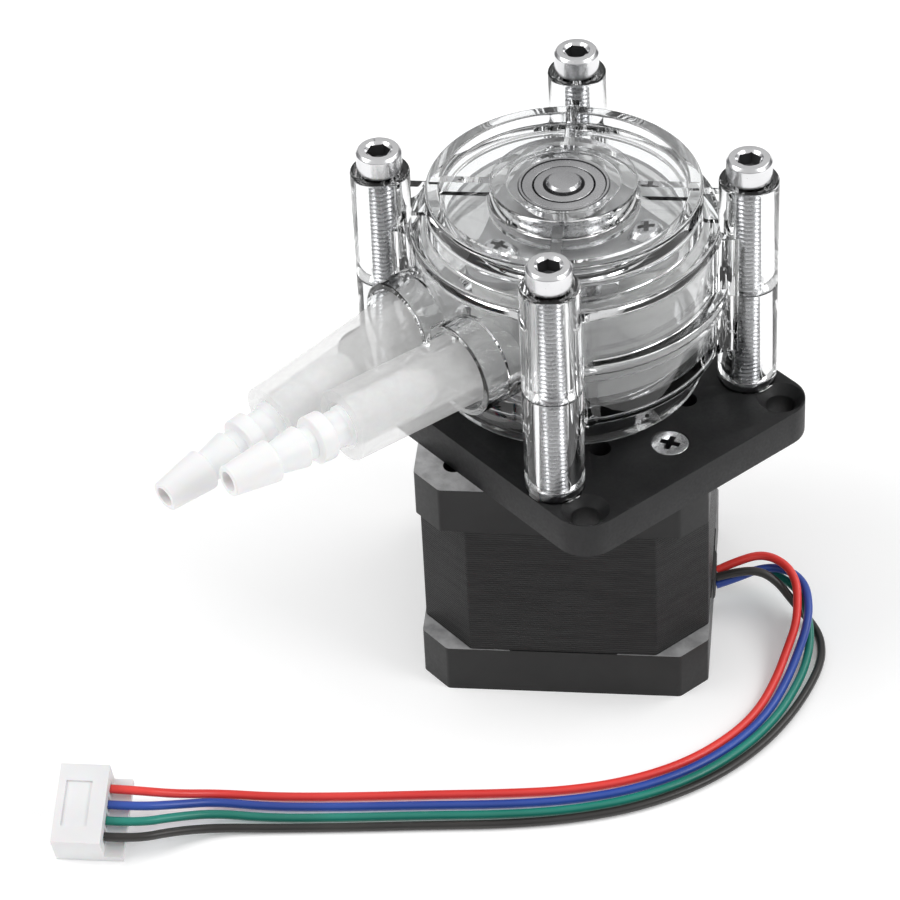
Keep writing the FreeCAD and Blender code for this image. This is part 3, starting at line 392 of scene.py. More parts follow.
def soft_tube():
    """Milky silicone: some of what is behind shows through, the rest of the light is scattered."""
    material, nodes, links, shader = new_material("soft_tube")
    vector = object_coordinates(nodes, links)
    cloud = noise(nodes, links, vector, 260.0, detail=3.0)
    milk = tint(nodes, links, cloud, (0.90, 0.90, 0.895), (0.95, 0.95, 0.945))
    links.new(milk, shader.inputs["Base Color"])
    links.new(spread(nodes, links, cloud, 0.24, 0.34), shader.inputs["Roughness"])
    bump(nodes, links, cloud, 0.05, 0.0001, shader)
    glow = nodes.new("ShaderNodeBsdfTranslucent")
    glow.inputs["Color"].default_value = (0.97, 0.97, 0.965, 1)
    see = nodes.new("ShaderNodeBsdfTransparent")
    see.inputs["Color"].default_value = (0.97, 0.97, 0.97, 1)
    milky, whole = nodes.new("ShaderNodeMixShader"), nodes.new("ShaderNodeMixShader")
    milky.inputs["Fac"].default_value = 0.45
    links.new(shader.outputs["BSDF"], milky.inputs[1])
    links.new(glow.outputs["BSDF"], milky.inputs[2])
    links.new(spread(nodes, links, cloud, 0.62, 0.70), whole.inputs["Fac"])
    links.new(milky.outputs["Shader"], whole.inputs[1])
    links.new(see.outputs["BSDF"], whole.inputs[2])
    links.new(whole.outputs["Shader"], nodes["Material Output"].inputs["Surface"])
    return material


CLEAR = clear_plastic()
TUBE = soft_tube()
NICKEL = surface("nickel_plate", (0.66, 0.66, 0.67), (0.78, 0.78, 0.79), (0.17, 0.28), 1.0, 1400.0, 0.05)
# Painted shade: the screw shanks get a darker copy of the heads' nickel plate, for the shade and dark
# surroundings they show inside the posts.
THREAD_PAINTED_SHADE = surface("thread_steel_painted_shade", (0.36, 0.36, 0.37), (0.50, 0.50, 0.51), (0.22, 0.34), 1.0, 1400.0, 0.08)
# Painted shade: dark steel laid on the walls of the drive recesses in the screw heads.
SOCKET_PAINTED_SHADE = surface("socket_steel_painted_shade", (0.16, 0.16, 0.165), (0.28, 0.28, 0.285), (0.28, 0.42), 1.0, 1400.0, 0.10)
BEARING = surface("bearing_steel", (0.40, 0.40, 0.41), (0.54, 0.54, 0.55), (0.18, 0.32), 1.0, 1600.0, 0.05)
# Painted shade: a near-black finish laid on the bearing's grooves and gaps, where shade falls between the
# rings and shields.
BEARING_GAP_PAINTED_SHADE = surface("bearing_gap_painted_shade", (0.03, 0.03, 0.032), (0.06, 0.06, 0.062), (0.35, 0.50), 0.6, 1600.0,
                      0.05)
ROTOR = surface("blasted_aluminium", (0.50, 0.50, 0.505), (0.60, 0.60, 0.605), (0.42, 0.55), 0.7, 1800.0,
                0.25)
BARE = corner_metal("bare_aluminium", (0.44, 0.44, 0.445), (0.66, 0.66, 0.665))
# Painted shade: a darker copy of the bare aluminium for the rear bell's corners, which lie in shadow under
# the stack.
BARE_REAR_PAINTED_SHADE = corner_metal("aluminium_painted_shade", (0.24, 0.24, 0.243), (0.38, 0.38, 0.384))
PLATE = surface("black_anodised", (0.008, 0.008, 0.0085), (0.014, 0.014, 0.0145), (0.46, 0.60), 0.0, 2200.0,
                0.35, Specular_IOR_Level=0.38)
BELL = surface("black_paint", (0.008, 0.008, 0.008), (0.014, 0.014, 0.014), (0.34, 0.46), 0.0, 1500.0, 0.25,
               Specular_IOR_Level=0.34)
STACK = surface("stack_steel", (0.008, 0.008, 0.008), (0.016, 0.016, 0.016), (0.38, 0.54), 0.0, 2500.0, 0.35,
                stretch=(1, 1, 9), Specular_IOR_Level=0.34)
ROLLER = surface("roller_plastic", (0.78, 0.78, 0.77), (0.86, 0.86, 0.85), (0.35, 0.5), 0.0, 900.0, 0.1)
FITTING = surface("white_fitting", (0.82, 0.825, 0.83), (0.88, 0.88, 0.885), (0.32, 0.44), 0.0, 700.0, 0.10,
                  Subsurface_Weight=0.25, Subsurface_Scale=0.002)
PLUG = surface("white_plug", (0.78, 0.78, 0.79), (0.85, 0.85, 0.855), (0.34, 0.46), 0.0, 900.0, 0.10,
               Subsurface_Weight=0.2, Subsurface_Scale=0.001)
COPPER = surface("copper", (0.60, 0.28, 0.14), (0.75, 0.38, 0.20), (0.25, 0.4), 1.0)
MAGNET = surface("magnet", (0.12, 0.12, 0.125), (0.20, 0.20, 0.205), (0.4, 0.55), 1.0)
BUSH = surface("black_bush", (0.012, 0.012, 0.012), (0.020, 0.020, 0.020), (0.45, 0.6))
TINNED = surface("tinned", (0.60, 0.60, 0.58), (0.74, 0.74, 0.72), (0.2, 0.35), 1.0)
WIRE_COLOURS = {
    "wire_red": ((0.72, 0.035, 0.030), (0.86, 0.055, 0.045)),
    "wire_blue": ((0.020, 0.055, 0.30), (0.030, 0.085, 0.42)),
    "wire_green": ((0.008, 0.17, 0.125), (0.014, 0.25, 0.19)),
    "wire_black": ((0.014, 0.013, 0.012), (0.030, 0.028, 0.026)),
}


# ---------------------------------------------------------------- camera, floor and light

AIM_AZIMUTH, AIM_ELEVATION, AIM_ROLL = 52.421, 39.455, -2.958
LENS, SENSOR = 153.16, 36.0
CAMERA_DISTANCE = 0.558112
OFF_AXIS = (0.017107, 0.008025)   # how far right of and above the axis the pump stands


def view_axes(azimuth, elevation, roll):
    """Right, up and backward directions of a camera that looks at the origin from there."""
    a, e, r = (math.radians(value) for value in (azimuth, elevation, roll))
    back = Vector((math.sin(a) * math.cos(e), -math.cos(a) * math.cos(e), math.sin(e)))
    level = Vector((math.cos(a), math.sin(a), 0))
    rise = back.cross(level)
    right = level * math.cos(r) + rise * math.sin(r)
    up = rise * math.cos(r) - level * math.sin(r)
    return right, up, back


def add_camera():
    """The camera stands 0.56 m off, with the pump right of and above the middle of the view."""
    right, up, back = view_axes(AIM_AZIMUTH, AIM_ELEVATION, AIM_ROLL)
    aside, below = OFF_AXIS
    place = Vector((0, 0, 0.040)) - right * aside - up * below + back * CAMERA_DISTANCE
    data = bpy.data.cameras.new("camera")
    data.lens = LENS
    data.sensor_width = SENSOR
    data.shift_x = -0.0021
    data.shift_y = -0.0030
    data.clip_start = 0.01
    data.clip_end = 10.0
    camera = bpy.data.objects.new("camera", data)
    turn = Matrix((right, up, back)).transposed()
    camera.matrix_world = Matrix.Translation(place) @ turn.to_4x4()
    SCENE.collection.objects.link(camera)
    SCENE.camera = camera


def add_floor():
    """A pale bench top that runs past every side of the view."""
    reach = 1500
    floor = prism("floor", [(-reach, -reach), (reach, -reach), (reach, reach), (-reach, reach)], -20, 0)
    floor.data.transform(Matrix.Scale(MM, 4))
    material = surface("bench", (0.92, 0.92, 0.92), (0.94, 0.94, 0.94), (0.7, 0.8), 0.0, 60.0, 0.02,
                       Emission_Color=(1, 1, 1, 1), Emission_Strength=0.16, Specular_IOR_Level=0.1)
    floor.data.materials.append(material)


def add_area(name, place, target, size, power):
    data = bpy.data.lights.new(name, "AREA")
    data.shape = "RECTANGLE"
    data.size, data.size_y = size
    data.energy = power
    light = bpy.data.objects.new(name, data)
    light.location = place
    light.rotation_euler = (Vector(target) - Vector(place)).to_track_quat("-Z", "Y").to_euler()
    SCENE.collection.objects.link(light)
    return light


def add_world():
    """A white tent that darkens towards the horizon, so clear and bright pieces have edges."""
    world = bpy.data.worlds.new("studio")
    SCENE.world = world
    world.use_nodes = True
    nodes, links = world.node_tree.nodes, world.node_tree.links
    place = nodes.new("ShaderNodeTexCoord")
    parts = nodes.new("ShaderNodeSeparateXYZ")
    ramp = nodes.new("ShaderNodeValToRGB")
    links.new(place.outputs["Generated"], parts.inputs["Vector"])
    links.new(parts.outputs["Z"], ramp.inputs["Fac"])
    stops = ramp.color_ramp.elements
    stops[0].position, stops[0].color = 0.0, (0.10, 0.10, 0.105, 1)
    stops[1].position, stops[1].color = 0.55, (1.0, 1.0, 1.0, 1)
    middle = stops.new(0.22)
    middle.color = (0.30, 0.30, 0.31, 1)
    back = nodes["Background"]
    links.new(ramp.outputs["Color"], back.inputs["Color"])
    back.inputs["Strength"].default_value = 0.70


add_camera()
add_floor()
add_world()
add_area("key", (-0.7, -1.0, 1.4), (0, 0, 0.04), (1.0, 1.0), 13)
add_area("side", (1.3, 0.6, 1.1), (0, 0, 0.04), (0.6, 1.0), 9)
add_area("fill", (0.5, 1.5, 1.3), (0, 0, 0.04), (1.0, 0.6), 8)
SCENE.view_settings.view_transform = "Standard"


# ---------------------------------------------------------------- wires and plug

# The same routes as in part.py, in millimetres. The last point of each is in its way of the plug.
ROUTES = {
    "wire_red": [
        (14.7, 15.8, 5.7), (16.2, 18.8, 6.9), (18.2, 22.1, 7.6), (21.7, 23.3, 7.3), (24.8, 22.7, 6.3),
        (27.5, 20.5, 5.1), (30.1, 17.7, 3.8), (32.3, 13.7, 2.4), (34.7, 9.4, 1.2), (37.5, 3.3, 0.7),
        (38.9, -3.5, 0.7), (38.6, -12.0, 0.7), (35.9, -20.7, 0.7), (31.5, -28.5, 0.7), (25.9, -35.7, 0.7),
        (19.0, -43.8, 0.7), (11.7, -52.6, 0.7), (4.5, -60.9, 0.8), (-0.5, -67.1, 1.9), (-2.6, -72.9, 4.1),
        (-4.85, -77.4, 6.0), (-7.936, -80.463, 6.171)],
    "wire_blue": [
        (15.8, 14.7, 4.2), (17.3, 17.5, 4.9), (18.8, 21.4, 5.7), (21.5, 23.9, 5.7), (25.1, 24.1, 5.3),
        (28.5, 21.9, 4.7), (31.4, 18.7, 3.7), (33.8, 14.5, 2.3), (36.1, 10.0, 1.0), (38.9, 3.8, 0.7),
        (40.4, -3.4, 0.7), (40.2, -12.3, 0.7), (37.7, -21.4, 0.7), (33.2, -29.6, 0.7), (27.6, -37.1, 0.7),
        (20.6, -45.2, 0.7), (13.2, -54.0, 0.7), (5.8, -62.5, 0.8), (0.3, -68.4, 1.7), (-1.5, -74.0, 3.5),
        (-3.2, -79.0, 5.15), (-6.275, -82.124, 5.316)],
    "wire_green": [
        (14.7, 15.8, 4.2), (16.3, 19.0, 4.6), (18.4, 22.2, 4.4), (21.8, 23.4, 4.1), (25.3, 23.2, 3.75),
        (28.7, 21.4, 3.1), (32.4, 18.6, 2.1), (35.2, 14.9, 0.9), (37.6, 10.6, 0.7), (40.3, 4.4, 0.7),
        (41.9, -3.2, 0.7), (41.9, -12.5, 0.7), (39.4, -22.0, 0.7), (34.9, -30.6, 0.7), (29.2, -38.4, 0.7),
        (22.2, -46.5, 0.7), (14.8, -55.4, 0.7), (7.5, -64.0, 0.8), (2.1, -69.6, 1.5), (0.1, -75.1, 3.0),
        (-1.5, -80.7, 4.3), (-4.614, -83.785, 4.461)],
    "wire_black": [
        (15.8, 14.7, 5.7), (17.6, 17.3, 6.5), (19.8, 20.0, 6.5), (22.2, 21.4, 5.0), (24.9, 21.9, 2.7),
        (28.2, 22.2, 1.0), (32.2, 20.9, 0.7), (36.0, 17.4, 0.7), (39.0, 12.0, 0.7), (41.8, 4.9, 0.7),
        (43.5, -3.1, 0.7), (43.5, -12.7, 0.7), (41.0, -22.7, 0.7), (36.4, -31.6, 0.7), (30.7, -39.6, 0.7),
        (23.7, -47.8, 0.7), (16.3, -56.7, 0.7), (8.9, -65.3, 0.7), (4.2, -71.0, 1.1), (1.7, -76.6, 2.3),
        (0.15, -82.35, 3.45), (-2.953, -85.446, 3.606)],
}
WIRE_R = 0.65
PLUG_TILT = 20.0
PLUG_CORNER = Vector((-7.08, -91.36, 0.06))
PLUG_LONG, PLUG_WIDE, PLUG_THICK = 9.8, 12.3, 5.75
PLUG_STEP, PLUG_SHELF = 2.7, 1.3
PLUG_WAYS = [2.4 + 2.5 * index for index in range(4)]
PLUG_MIDDLE = 2.9


def plug_frame():
    """The plug lies with its length along +X+Y, rolled so its near long edge rests on the bench."""
    length = Vector((1, 1, 0)).normalized()
    return (Matrix.Translation(PLUG_CORNER) @ Matrix.Rotation(math.radians(PLUG_TILT), 4, length)
            @ turned_about_z(45))


def build_plug():
    """Four-way plug: a body with square ways, a shelf under the wires and two shallow windows."""
    placing = plug_frame()
    inner = PLUG_LONG - PLUG_STEP
    body = block("plug", (0, 0, 0), (PLUG_LONG, PLUG_WIDE, PLUG_THICK), placing)
    tools = [block("step", (inner, -1, PLUG_SHELF), (PLUG_LONG + 1, PLUG_WIDE + 1, 9), placing)]
    for middle in PLUG_WAYS:
        tools.append(block("way", (-1, middle - 0.95, PLUG_MIDDLE - 0.95),
                           (inner + 1, middle + 0.95, PLUG_MIDDLE + 0.95), placing))
    tools.append(block("recess", (1.1, 2.6, PLUG_THICK - 0.35), (4.9, PLUG_WIDE - 2.6, PLUG_THICK + 1),
                       placing))
    for middle in (3.6, PLUG_WIDE - 3.6):
        tools.append(block("key", (-1, middle - 0.5, -1), (inner - 1.2, middle + 0.5, 0.3), placing))
    carve(body, *tools)
    soften(body, 0.15)
    return piece(body, PLUG, "pump_frame", ["connector_housing"])


def build_wires(plug):
    for name, route in ROUTES.items():
        data = bpy.data.curves.new(name + "_lead", "CURVE")
        data.dimensions = "3D"
        data.bevel_depth = WIRE_R * MM
        data.bevel_resolution = 6
        data.resolution_u = 10
        data.use_fill_caps = True
        line = data.splines.new("NURBS")
        line.points.add(len(route) - 1)
        for point, place in zip(line.points, route):
            point.co = (*(Vector(place) * MM), 1.0)
        line.order_u = 3
        line.use_endpoint_u = True
        lead = bpy.data.objects.new(name + "_lead", data)
        SCENE.collection.objects.link(lead)
        dark, light = WIRE_COLOURS[name]
        data.materials.append(surface(name, dark, light, (0.30, 0.42), 0.0, 600.0, 0.12, Coat_Weight=0.1))
        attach(lead, "pump_frame")
        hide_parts(name)


# ---------------------------------------------------------------- motor

def motor_outline(side, bevel, corner=0.9):
    """A square with cut corners, standing on its corners along X and Y."""
    half = side / 2
    cut = bevel / math.sqrt(2)
    points = []
    for turn in range(4):
        spin = Matrix.Rotation(math.radians(90 * turn), 2)
        points += [spin @ Vector((half, half - cut)), spin @ Vector((half - cut, half))]
    return [(*point, corner) for point in points]


TIE_PLACES = [(TIE_R, 0), (0, TIE_R), (-TIE_R, 0), (0, -TIE_R)]


def tie_holes(radius, bottom, top):
    return [rod("hole", radius, top - bottom, along(x, y, bottom)) for x, y in TIE_PLACES]


def paint_top(obj, level, bare):
    """The machined upper face keeps the bare metal."""
    obj.data.materials.append(bare)
    for face in obj.data.polygons:
        if face.normal.z > 0.9 and face.center.z > (level - 0.4) * MM:
            face.material_index = 1


def paint_recess_shade(obj, places, top, material):
    """Paints shade onto the walls of a drive recess, near each place and below the head's top."""
    obj.data.materials.append(material)
    for face in obj.data.polygons:
        centre = face.center / MM
        near = any(math.hypot(centre.x - x, centre.y - y) < 1.72 for x, y in places)
        if near and top - 2.6 < centre.z < top:
            face.material_index = 1


def build_bells():
    spin = turned_about_z(45)
    rear = prism("rear_bell", motor_outline(MOTOR_SIDE, 5.6), 0, REAR_BELL_TOP, spin, steps=4)
    tools = [lathe("hollow", [(9.4, 3.2), (17, 3.2), (17, 9), (9.4, 9)]),
             rod("seat", 8.0, 9, along(0, 0, 1.8))]
    tools += tie_holes(1.7, -1, 9)
    tools += tie_holes(3.0, -1, 2.4)
    tools.append(block("notch", (15.4, -4, 3.2), (24, 4, 9), spin))
    carve(rear, *tools)
    soften(rear, 0.25)
    piece(rear, BELL, "pump_frame", ["motor_rear_bell"])
    # The rear bell's bare corners take the darker copy: painted shade under the stack.
    paint_top(rear, REAR_BELL_TOP, BARE_REAR_PAINTED_SHADE)

    front = prism("front_bell", motor_outline(MOTOR_SIDE, 5.6), STACK_TOP, MOTOR_TOP, spin, steps=4)
    union(front, lathe("boss", [(0, 37), (11, 37), (11, MOTOR_TOP + 2, 0.4), (0, MOTOR_TOP + 2)]))
    tools = [lathe("hollow", [(0, 30), (17, 30), (17, 35.6), (9.4, 35.6), (9.4, 31.7), (8, 31.7), (8, 38.7),
                              (4, 38.7), (4, 41), (0, 41)])]
    tools += tie_holes(1.55, 30, 39)
    carve(front, *tools)
    soften(front, 0.25)
    piece(front, BELL, "pump_frame", ["motor_front_bell"])
    paint_top(front, MOTOR_TOP, BARE)


def build_stack():
    """Stator sheets: each sheet's edge stands a hair proud of the gaps beside it."""
    sheets = 58
    pitch = (STACK_TOP - REAR_BELL_TOP) / sheets
    groove = 0.04
    side = MOTOR_SIDE - 0.3
    bevel = 7.3 * math.sqrt(2)
    outer = rounded(motor_outline(side, bevel, 0.8), 4)
    inner = rounded(motor_outline(side - 2 * groove, bevel, 0.8), 4)
    levels = []
    for sheet in range(sheets):
        start = REAR_BELL_TOP + sheet * pitch
        levels += [(start, inner), (start + 0.22 * pitch, outer), (start + 0.78 * pitch, outer)]
    levels.append((STACK_TOP, inner))
    bm = bmesh.new()
    loops = [[bm.verts.new((x, y, z)) for x, y in shape] for z, shape in levels]
    bore = [[bm.verts.new((x, y, z)) for x, y in circle_points(17, ROUND)]
            for z in (REAR_BELL_TOP, STACK_TOP)]
    for lower, upper in list(zip(loops, loops[1:])) + [(bore[0], bore[1])]:
        wall_between(bm, lower, upper)
    for shape, hole in ((loops[0], bore[0]), (loops[-1], bore[1])):
        edges = [bm.edges.get((ring[i], ring[(i + 1) % len(ring)]))
                 for ring in (shape, hole) for i in range(len(ring))]
        bmesh.ops.triangle_fill(bm, edges=edges, use_beauty=True)
    stack = add_object("stator_stack", bm, turned_about_z(45))
    piece(stack, STACK, "pump_frame", ["motor_stator"], smooth=20)


def build_tie_screws():
    screws = []
    for x, y in TIE_PLACES:
        outline = [(0, 0.4), (2.4, 0.4, 0.3), (2.75, 0.9, 0.2), (2.75, 2.3), (1.45, 2.3), (1.45, 33), (0, 33)]
        head = lathe("tie", outline, along(x, y, 0), SMALL_ROUND)
        carve(head, prism("hex", circle_points(1.1, 6), 0, 1.5, along(x, y, 0)))
        screws.append(head)
    piece(merge("tie_screws", screws), NICKEL, "pump_frame", ["motor_screws"])


def build_bush():
    spin = turned_about_z(45)
    face = MOTOR_SIDE / 2 + 0.4
    bush = prism("bush", [(16.0, -3.7), (face, -3.7, 1.2), (face, 3.7, 1.2), (16.0, 3.7)], 3.35, 7.7, spin)
    soften(bush, 0.3)
    piece(bush, BUSH, "pump_frame", ["motor_wire_bush"])


# ---------------------------------------------------------------- plate

def cross_recess(width, slot, depth, placing):
    """A cross-shaped tool that narrows as it goes in."""
    parts = []
    for turn in (0, 90):
        bm = bmesh.new()
        lower = [bm.verts.new((x * width * 0.3, y * slot * 0.4, -depth)) for x, y in SIGNS]
        upper = [bm.verts.new((x * width * 0.5, y * slot * 0.5, 0.6)) for x, y in SIGNS]
        bm.faces.new(lower[::-1])
        bm.faces.new(upper)
        wall_between(bm, lower, upper)
        parts.append(add_object("cross", bm, placing @ turned_about_z(turn)))
    return parts


def build_plate():
    outline = [(sx * PLATE_X, sy * PLATE_Y, 5.0) for sx, sy in SIGNS]
    plate = prism("adapter", outline, MOTOR_TOP, PLATE_TOP, steps=12)
    tools = [rod("centre", 11.1, 8, along(0, 0, MOTOR_TOP - 1), ROUND)]
    for sx, sy in SIGNS:
        tools.append(lathe("mount", [(0, -1), (2.1, -1), (2.1, 4.2), (3.45, 5.55), (3.45, 7), (0, 7)],
                           along(sx * 25, sy * 18.5, MOTOR_TOP), SMALL_ROUND))
        tools.append(rod("spare", 1.6, 8, along(sx * 16.3, sy * 8.2, MOTOR_TOP - 1)))
    for x, y in CORNERS:
        tools.append(rod("tapped", 1.98, 8, along(x, y, MOTOR_TOP - 1)))
    for sx in (-1, 1):
        tools.append(lathe("sunk", [(0, -1), (1.6, -1), (1.6, 4.05), (2.87, 5.55), (2.87, 7), (0, 7)],
                           along(sx * TIE_R, 0, MOTOR_TOP), SMALL_ROUND))
    carve(plate, *tools)
    soften(plate, 0.3, 3)
    piece(plate, PLATE, "pump_frame", ["adapter_plate"])

    screws = []
    for sx in (-1, 1):
        outline = [(0, -10), (1.45, -10), (1.45, -1.45), (2.75, -0.14, 0.1), (2.6, -0.06, 0.1), (0, 0.0)]
        screw = lathe("sunk_screw", outline, along(sx * TIE_R, 0, PLATE_TOP - 0.02), SMALL_ROUND)
        cross = along(sx * TIE_R, 0, PLATE_TOP - 0.04) @ turned_about_z(28)
        carve(screw, *cross_recess(3.3, 0.95, 1.7, cross))
        screws.append(screw)
    pair = piece(merge("plate_screw_pair", screws), NICKEL, "pump_frame", ["plate_screws"])
    paint_recess_shade(pair, [(TIE_R, 0), (-TIE_R, 0)], PLATE_TOP - 0.12, SOCKET_PAINTED_SHADE)


# ---------------------------------------------------------------- clear casing

def fillet_web(bottom, top, turn):
    """The solid corner between drum and post, with a hollow arc on each side."""
    reach = POST * math.sqrt(2)
    hollow = 3.0
    along_axis = ((DRUM_R + hollow) ** 2 - (POST_R + hollow) ** 2 + reach ** 2) / (2 * reach)
    across = math.sqrt((DRUM_R + hollow) ** 2 - along_axis ** 2)
    centre = Vector((along_axis, across))
    start = (centre * (-hollow / (DRUM_R + hollow)))
    end = (Vector((reach, 0)) - centre) * (hollow / (POST_R + hollow))
    sweep = start.angle(end)
    arc = [centre + Matrix.Rotation(sweep * step / 10, 2) @ start for step in range(11)]
    if (arc[-1] - (centre + end)).length > 0.01:
        arc = [centre + Matrix.Rotation(-sweep * step / 10, 2) @ start for step in range(11)]
    upper = [(point.x, point.y) for point in arc]
    lower = [(x, -y) for x, y in reversed(upper)]
    outline = [(15.0, 3.5)] + upper + lower + [(15.0, -3.5)]
    return prism("web", outline, bottom, top, turned_about_z(turn))


def port_solid(bottom, top):
    """Both tube sockets on one side of the split."""
    left, right = [lathe("port", [(0, 0), (PORT_R, 0), (PORT_R, PORT_FACE - 12, 0.25), (0, PORT_FACE - 12)],
                         along(sx * PORT_X, -12, SPLIT, (0, -1, 0))) for sx in (-1, 1)]
    bridge = block("bridge", (-PORT_X, -PORT_FACE + 1.2, SPLIT - 3), (PORT_X, -12, SPLIT + 3))
    union(left, right, bridge)
    return clip(left, block("half", (-30, -40, bottom), (30, 0, top)))


def port_tools():
    outline = [(0, 0), (PORT_BORE_R, 0), (PORT_BORE_R, 11.0), (PORT_MOUTH_R, 11.6), (PORT_MOUTH_R, 17),
               (0, 17)]
    return [lathe("bore", outline, along(sx * PORT_X, -10, SPLIT, (0, -1, 0))) for sx in (-1, 1)]


def build_cover():
    gap = 0.03
    bottom = SPLIT + gap
    drum = lathe("cover", [(0, bottom), (LIP_R, bottom, 0.2), (LIP_R, SPLIT + 1.4, 0.3),
                           (DRUM_R, SPLIT + 1.4, 0.5), (DRUM_R, NECK_HIGH, 0.5), (NECK_R, NECK_HIGH, 0.5),
                           (NECK_R, RIM_TOP, 0.45), (WELL_R, RIM_TOP, 0.3), (WELL_R, LID_TOP, 0.3),
                           (HUB_R, LID_TOP, 0.4), (HUB_R, HUB_TOP, 0.5), (0, HUB_TOP)])
    added = [port_solid(bottom, SPLIT + 10)]
    for x, y in CORNERS:
        outline = [(0, bottom), (POST_R, bottom, 0.15), (POST_R, POST_TOP, 0.5), (0, POST_TOP)]
        added.append(lathe("post", outline, along(x, y, 0), 64))
    for turn in (45, 135, 225, 315):
        added.append(fillet_web(bottom, NECK_HIGH - 0.4, turn))
        added.append(block("rib", (HUB_R - 1, -0.75, LID_TOP - 0.5), (NECK_R - 0.6, 0.75, RIM_TOP + 0.4),
                           turned_about_z(turn)))
        added.append(block("fin", (NECK_R - 1.0, -0.75, NECK_HIGH - 1),
                           (POST * math.sqrt(2) - 2.4, 0.75, RIM_TOP - 0.5), turned_about_z(turn)))
    union(drum, *added)
    cavity = lathe("cavity", [(0, SPLIT - 1), (RACE_R, SPLIT - 1), (RACE_R, SPLIT + 7.7, 0.5),
                              (WELL_R, SPLIT + 7.7, 0.3), (WELL_R, LID_UNDER, 0.8), (HUB_R, LID_UNDER, 0.2),
                              (HUB_R, LID_UNDER - 0.7), (5.2, LID_UNDER - 0.7), (5.2, BEARING_LOW),
                              (6.52, BEARING_LOW), (6.52, BEARING_TOP), (8.1, BEARING_TOP, 0.2),
                              (8.1, HUB_TOP + 1), (0, HUB_TOP + 1)])
    holes = [rod("bolt_hole", BOLT_HOLE_R, 20, along(x, y, SPLIT - 1)) for x, y in CORNERS]
    carve(drum, cavity, *port_tools(), *holes)
    piece(drum, CLEAR, "pump_frame", ["casing_cover"], smooth=28)


def build_base():
    top = SPLIT
    drum = lathe("base", [(0, SKIRT_LOW), (NECK_R, SKIRT_LOW, 0.3), (NECK_R, NECK_LOW, 0.5),
                          (DRUM_R, NECK_LOW, 0.5), (DRUM_R, SPLIT - 1.4, 0.5), (LIP_R, SPLIT - 1.4, 0.3),
                          (LIP_R, top, 0.2), (0, top)])
    added = [port_solid(SPLIT - 10, top)]
    for x, y in CORNERS:
        added.append(lathe("post", [(0, PLATE_TOP), (POST_R, PLATE_TOP, 0.2), (POST_R, top, 0.15), (0, top)],
                           along(x, y, 0), 64))
    for turn in (45, 135, 225, 315):
        added.append(fillet_web(NECK_LOW + 0.4, top, turn))
    union(drum, *added)
    well = lathe("well", [(0, ROTOR_LOW - 0.5), (WELL_R, ROTOR_LOW - 0.5, 0.4), (WELL_R, SPLIT - 7.7, 0.3),
                          (RACE_R, SPLIT - 7.7, 0.5), (RACE_R, SPLIT + 1), (0, SPLIT + 1)])
    under = lathe("under", [(0, SKIRT_LOW - 1), (NECK_R - 1.8, SKIRT_LOW - 1),
                            (NECK_R - 1.8, ROTOR_LOW - 2.4, 0.5), (0, ROTOR_LOW - 2.4)])
    opening = rod("opening", 6.0, 12, along(0, 0, SKIRT_LOW), ROUND)
    holes = []
    for x, y in CORNERS:
        outline = [(0, -1), (3.2, -1), (3.2, 1.3, 0.2), (BOLT_HOLE_R, 1.3), (BOLT_HOLE_R, 20), (0, 20)]
        holes.append(lathe("bolt_hole", outline, along(x, y, PLATE_TOP), SMALL_ROUND))
    carve(drum, well, under, opening, *port_tools(), *holes)
    piece(drum, CLEAR, "pump_frame", ["casing_base"], smooth=28)


# ---------------------------------------------------------------- long screws

def threaded_rod(name, bottom, top, crest, root, pitch, segments=36, rows=5):
    """A screw thread whose crests follow a true helix."""
    step = pitch / rows
    count = int((top - bottom) / step)
    bm = bmesh.new()
    grid = []
    for index in range(segments):
        turn = 2 * math.pi * index / segments
        column = []
        for row in range(count + 1):
            share = (row % rows) / rows
            radius = root + (crest - root) * (1 - abs(2 * share - 1) ** 0.8)
            height = bottom + row * step + pitch * index / segments - pitch / 2
            height = min(max(height, bottom), top)
            column.append(bm.verts.new((radius * math.cos(turn), radius * math.sin(turn), height)))
        grid.append(column)
    for index in range(segments):
        after = grid[(index + 1) % segments]
        shift = rows if index == segments - 1 else 0
        for row in range(count):
            if row + 1 + shift > count:
                continue
            bm.faces.new((grid[index][row], after[row + shift], after[row + 1 + shift],
                          grid[index][row + 1]))
    bmesh.ops.remove_doubles(bm, verts=bm.verts, dist=0.0005)
    bmesh.ops.holes_fill(bm, edges=bm.edges, sides=0)
    return add_object(name, bm)


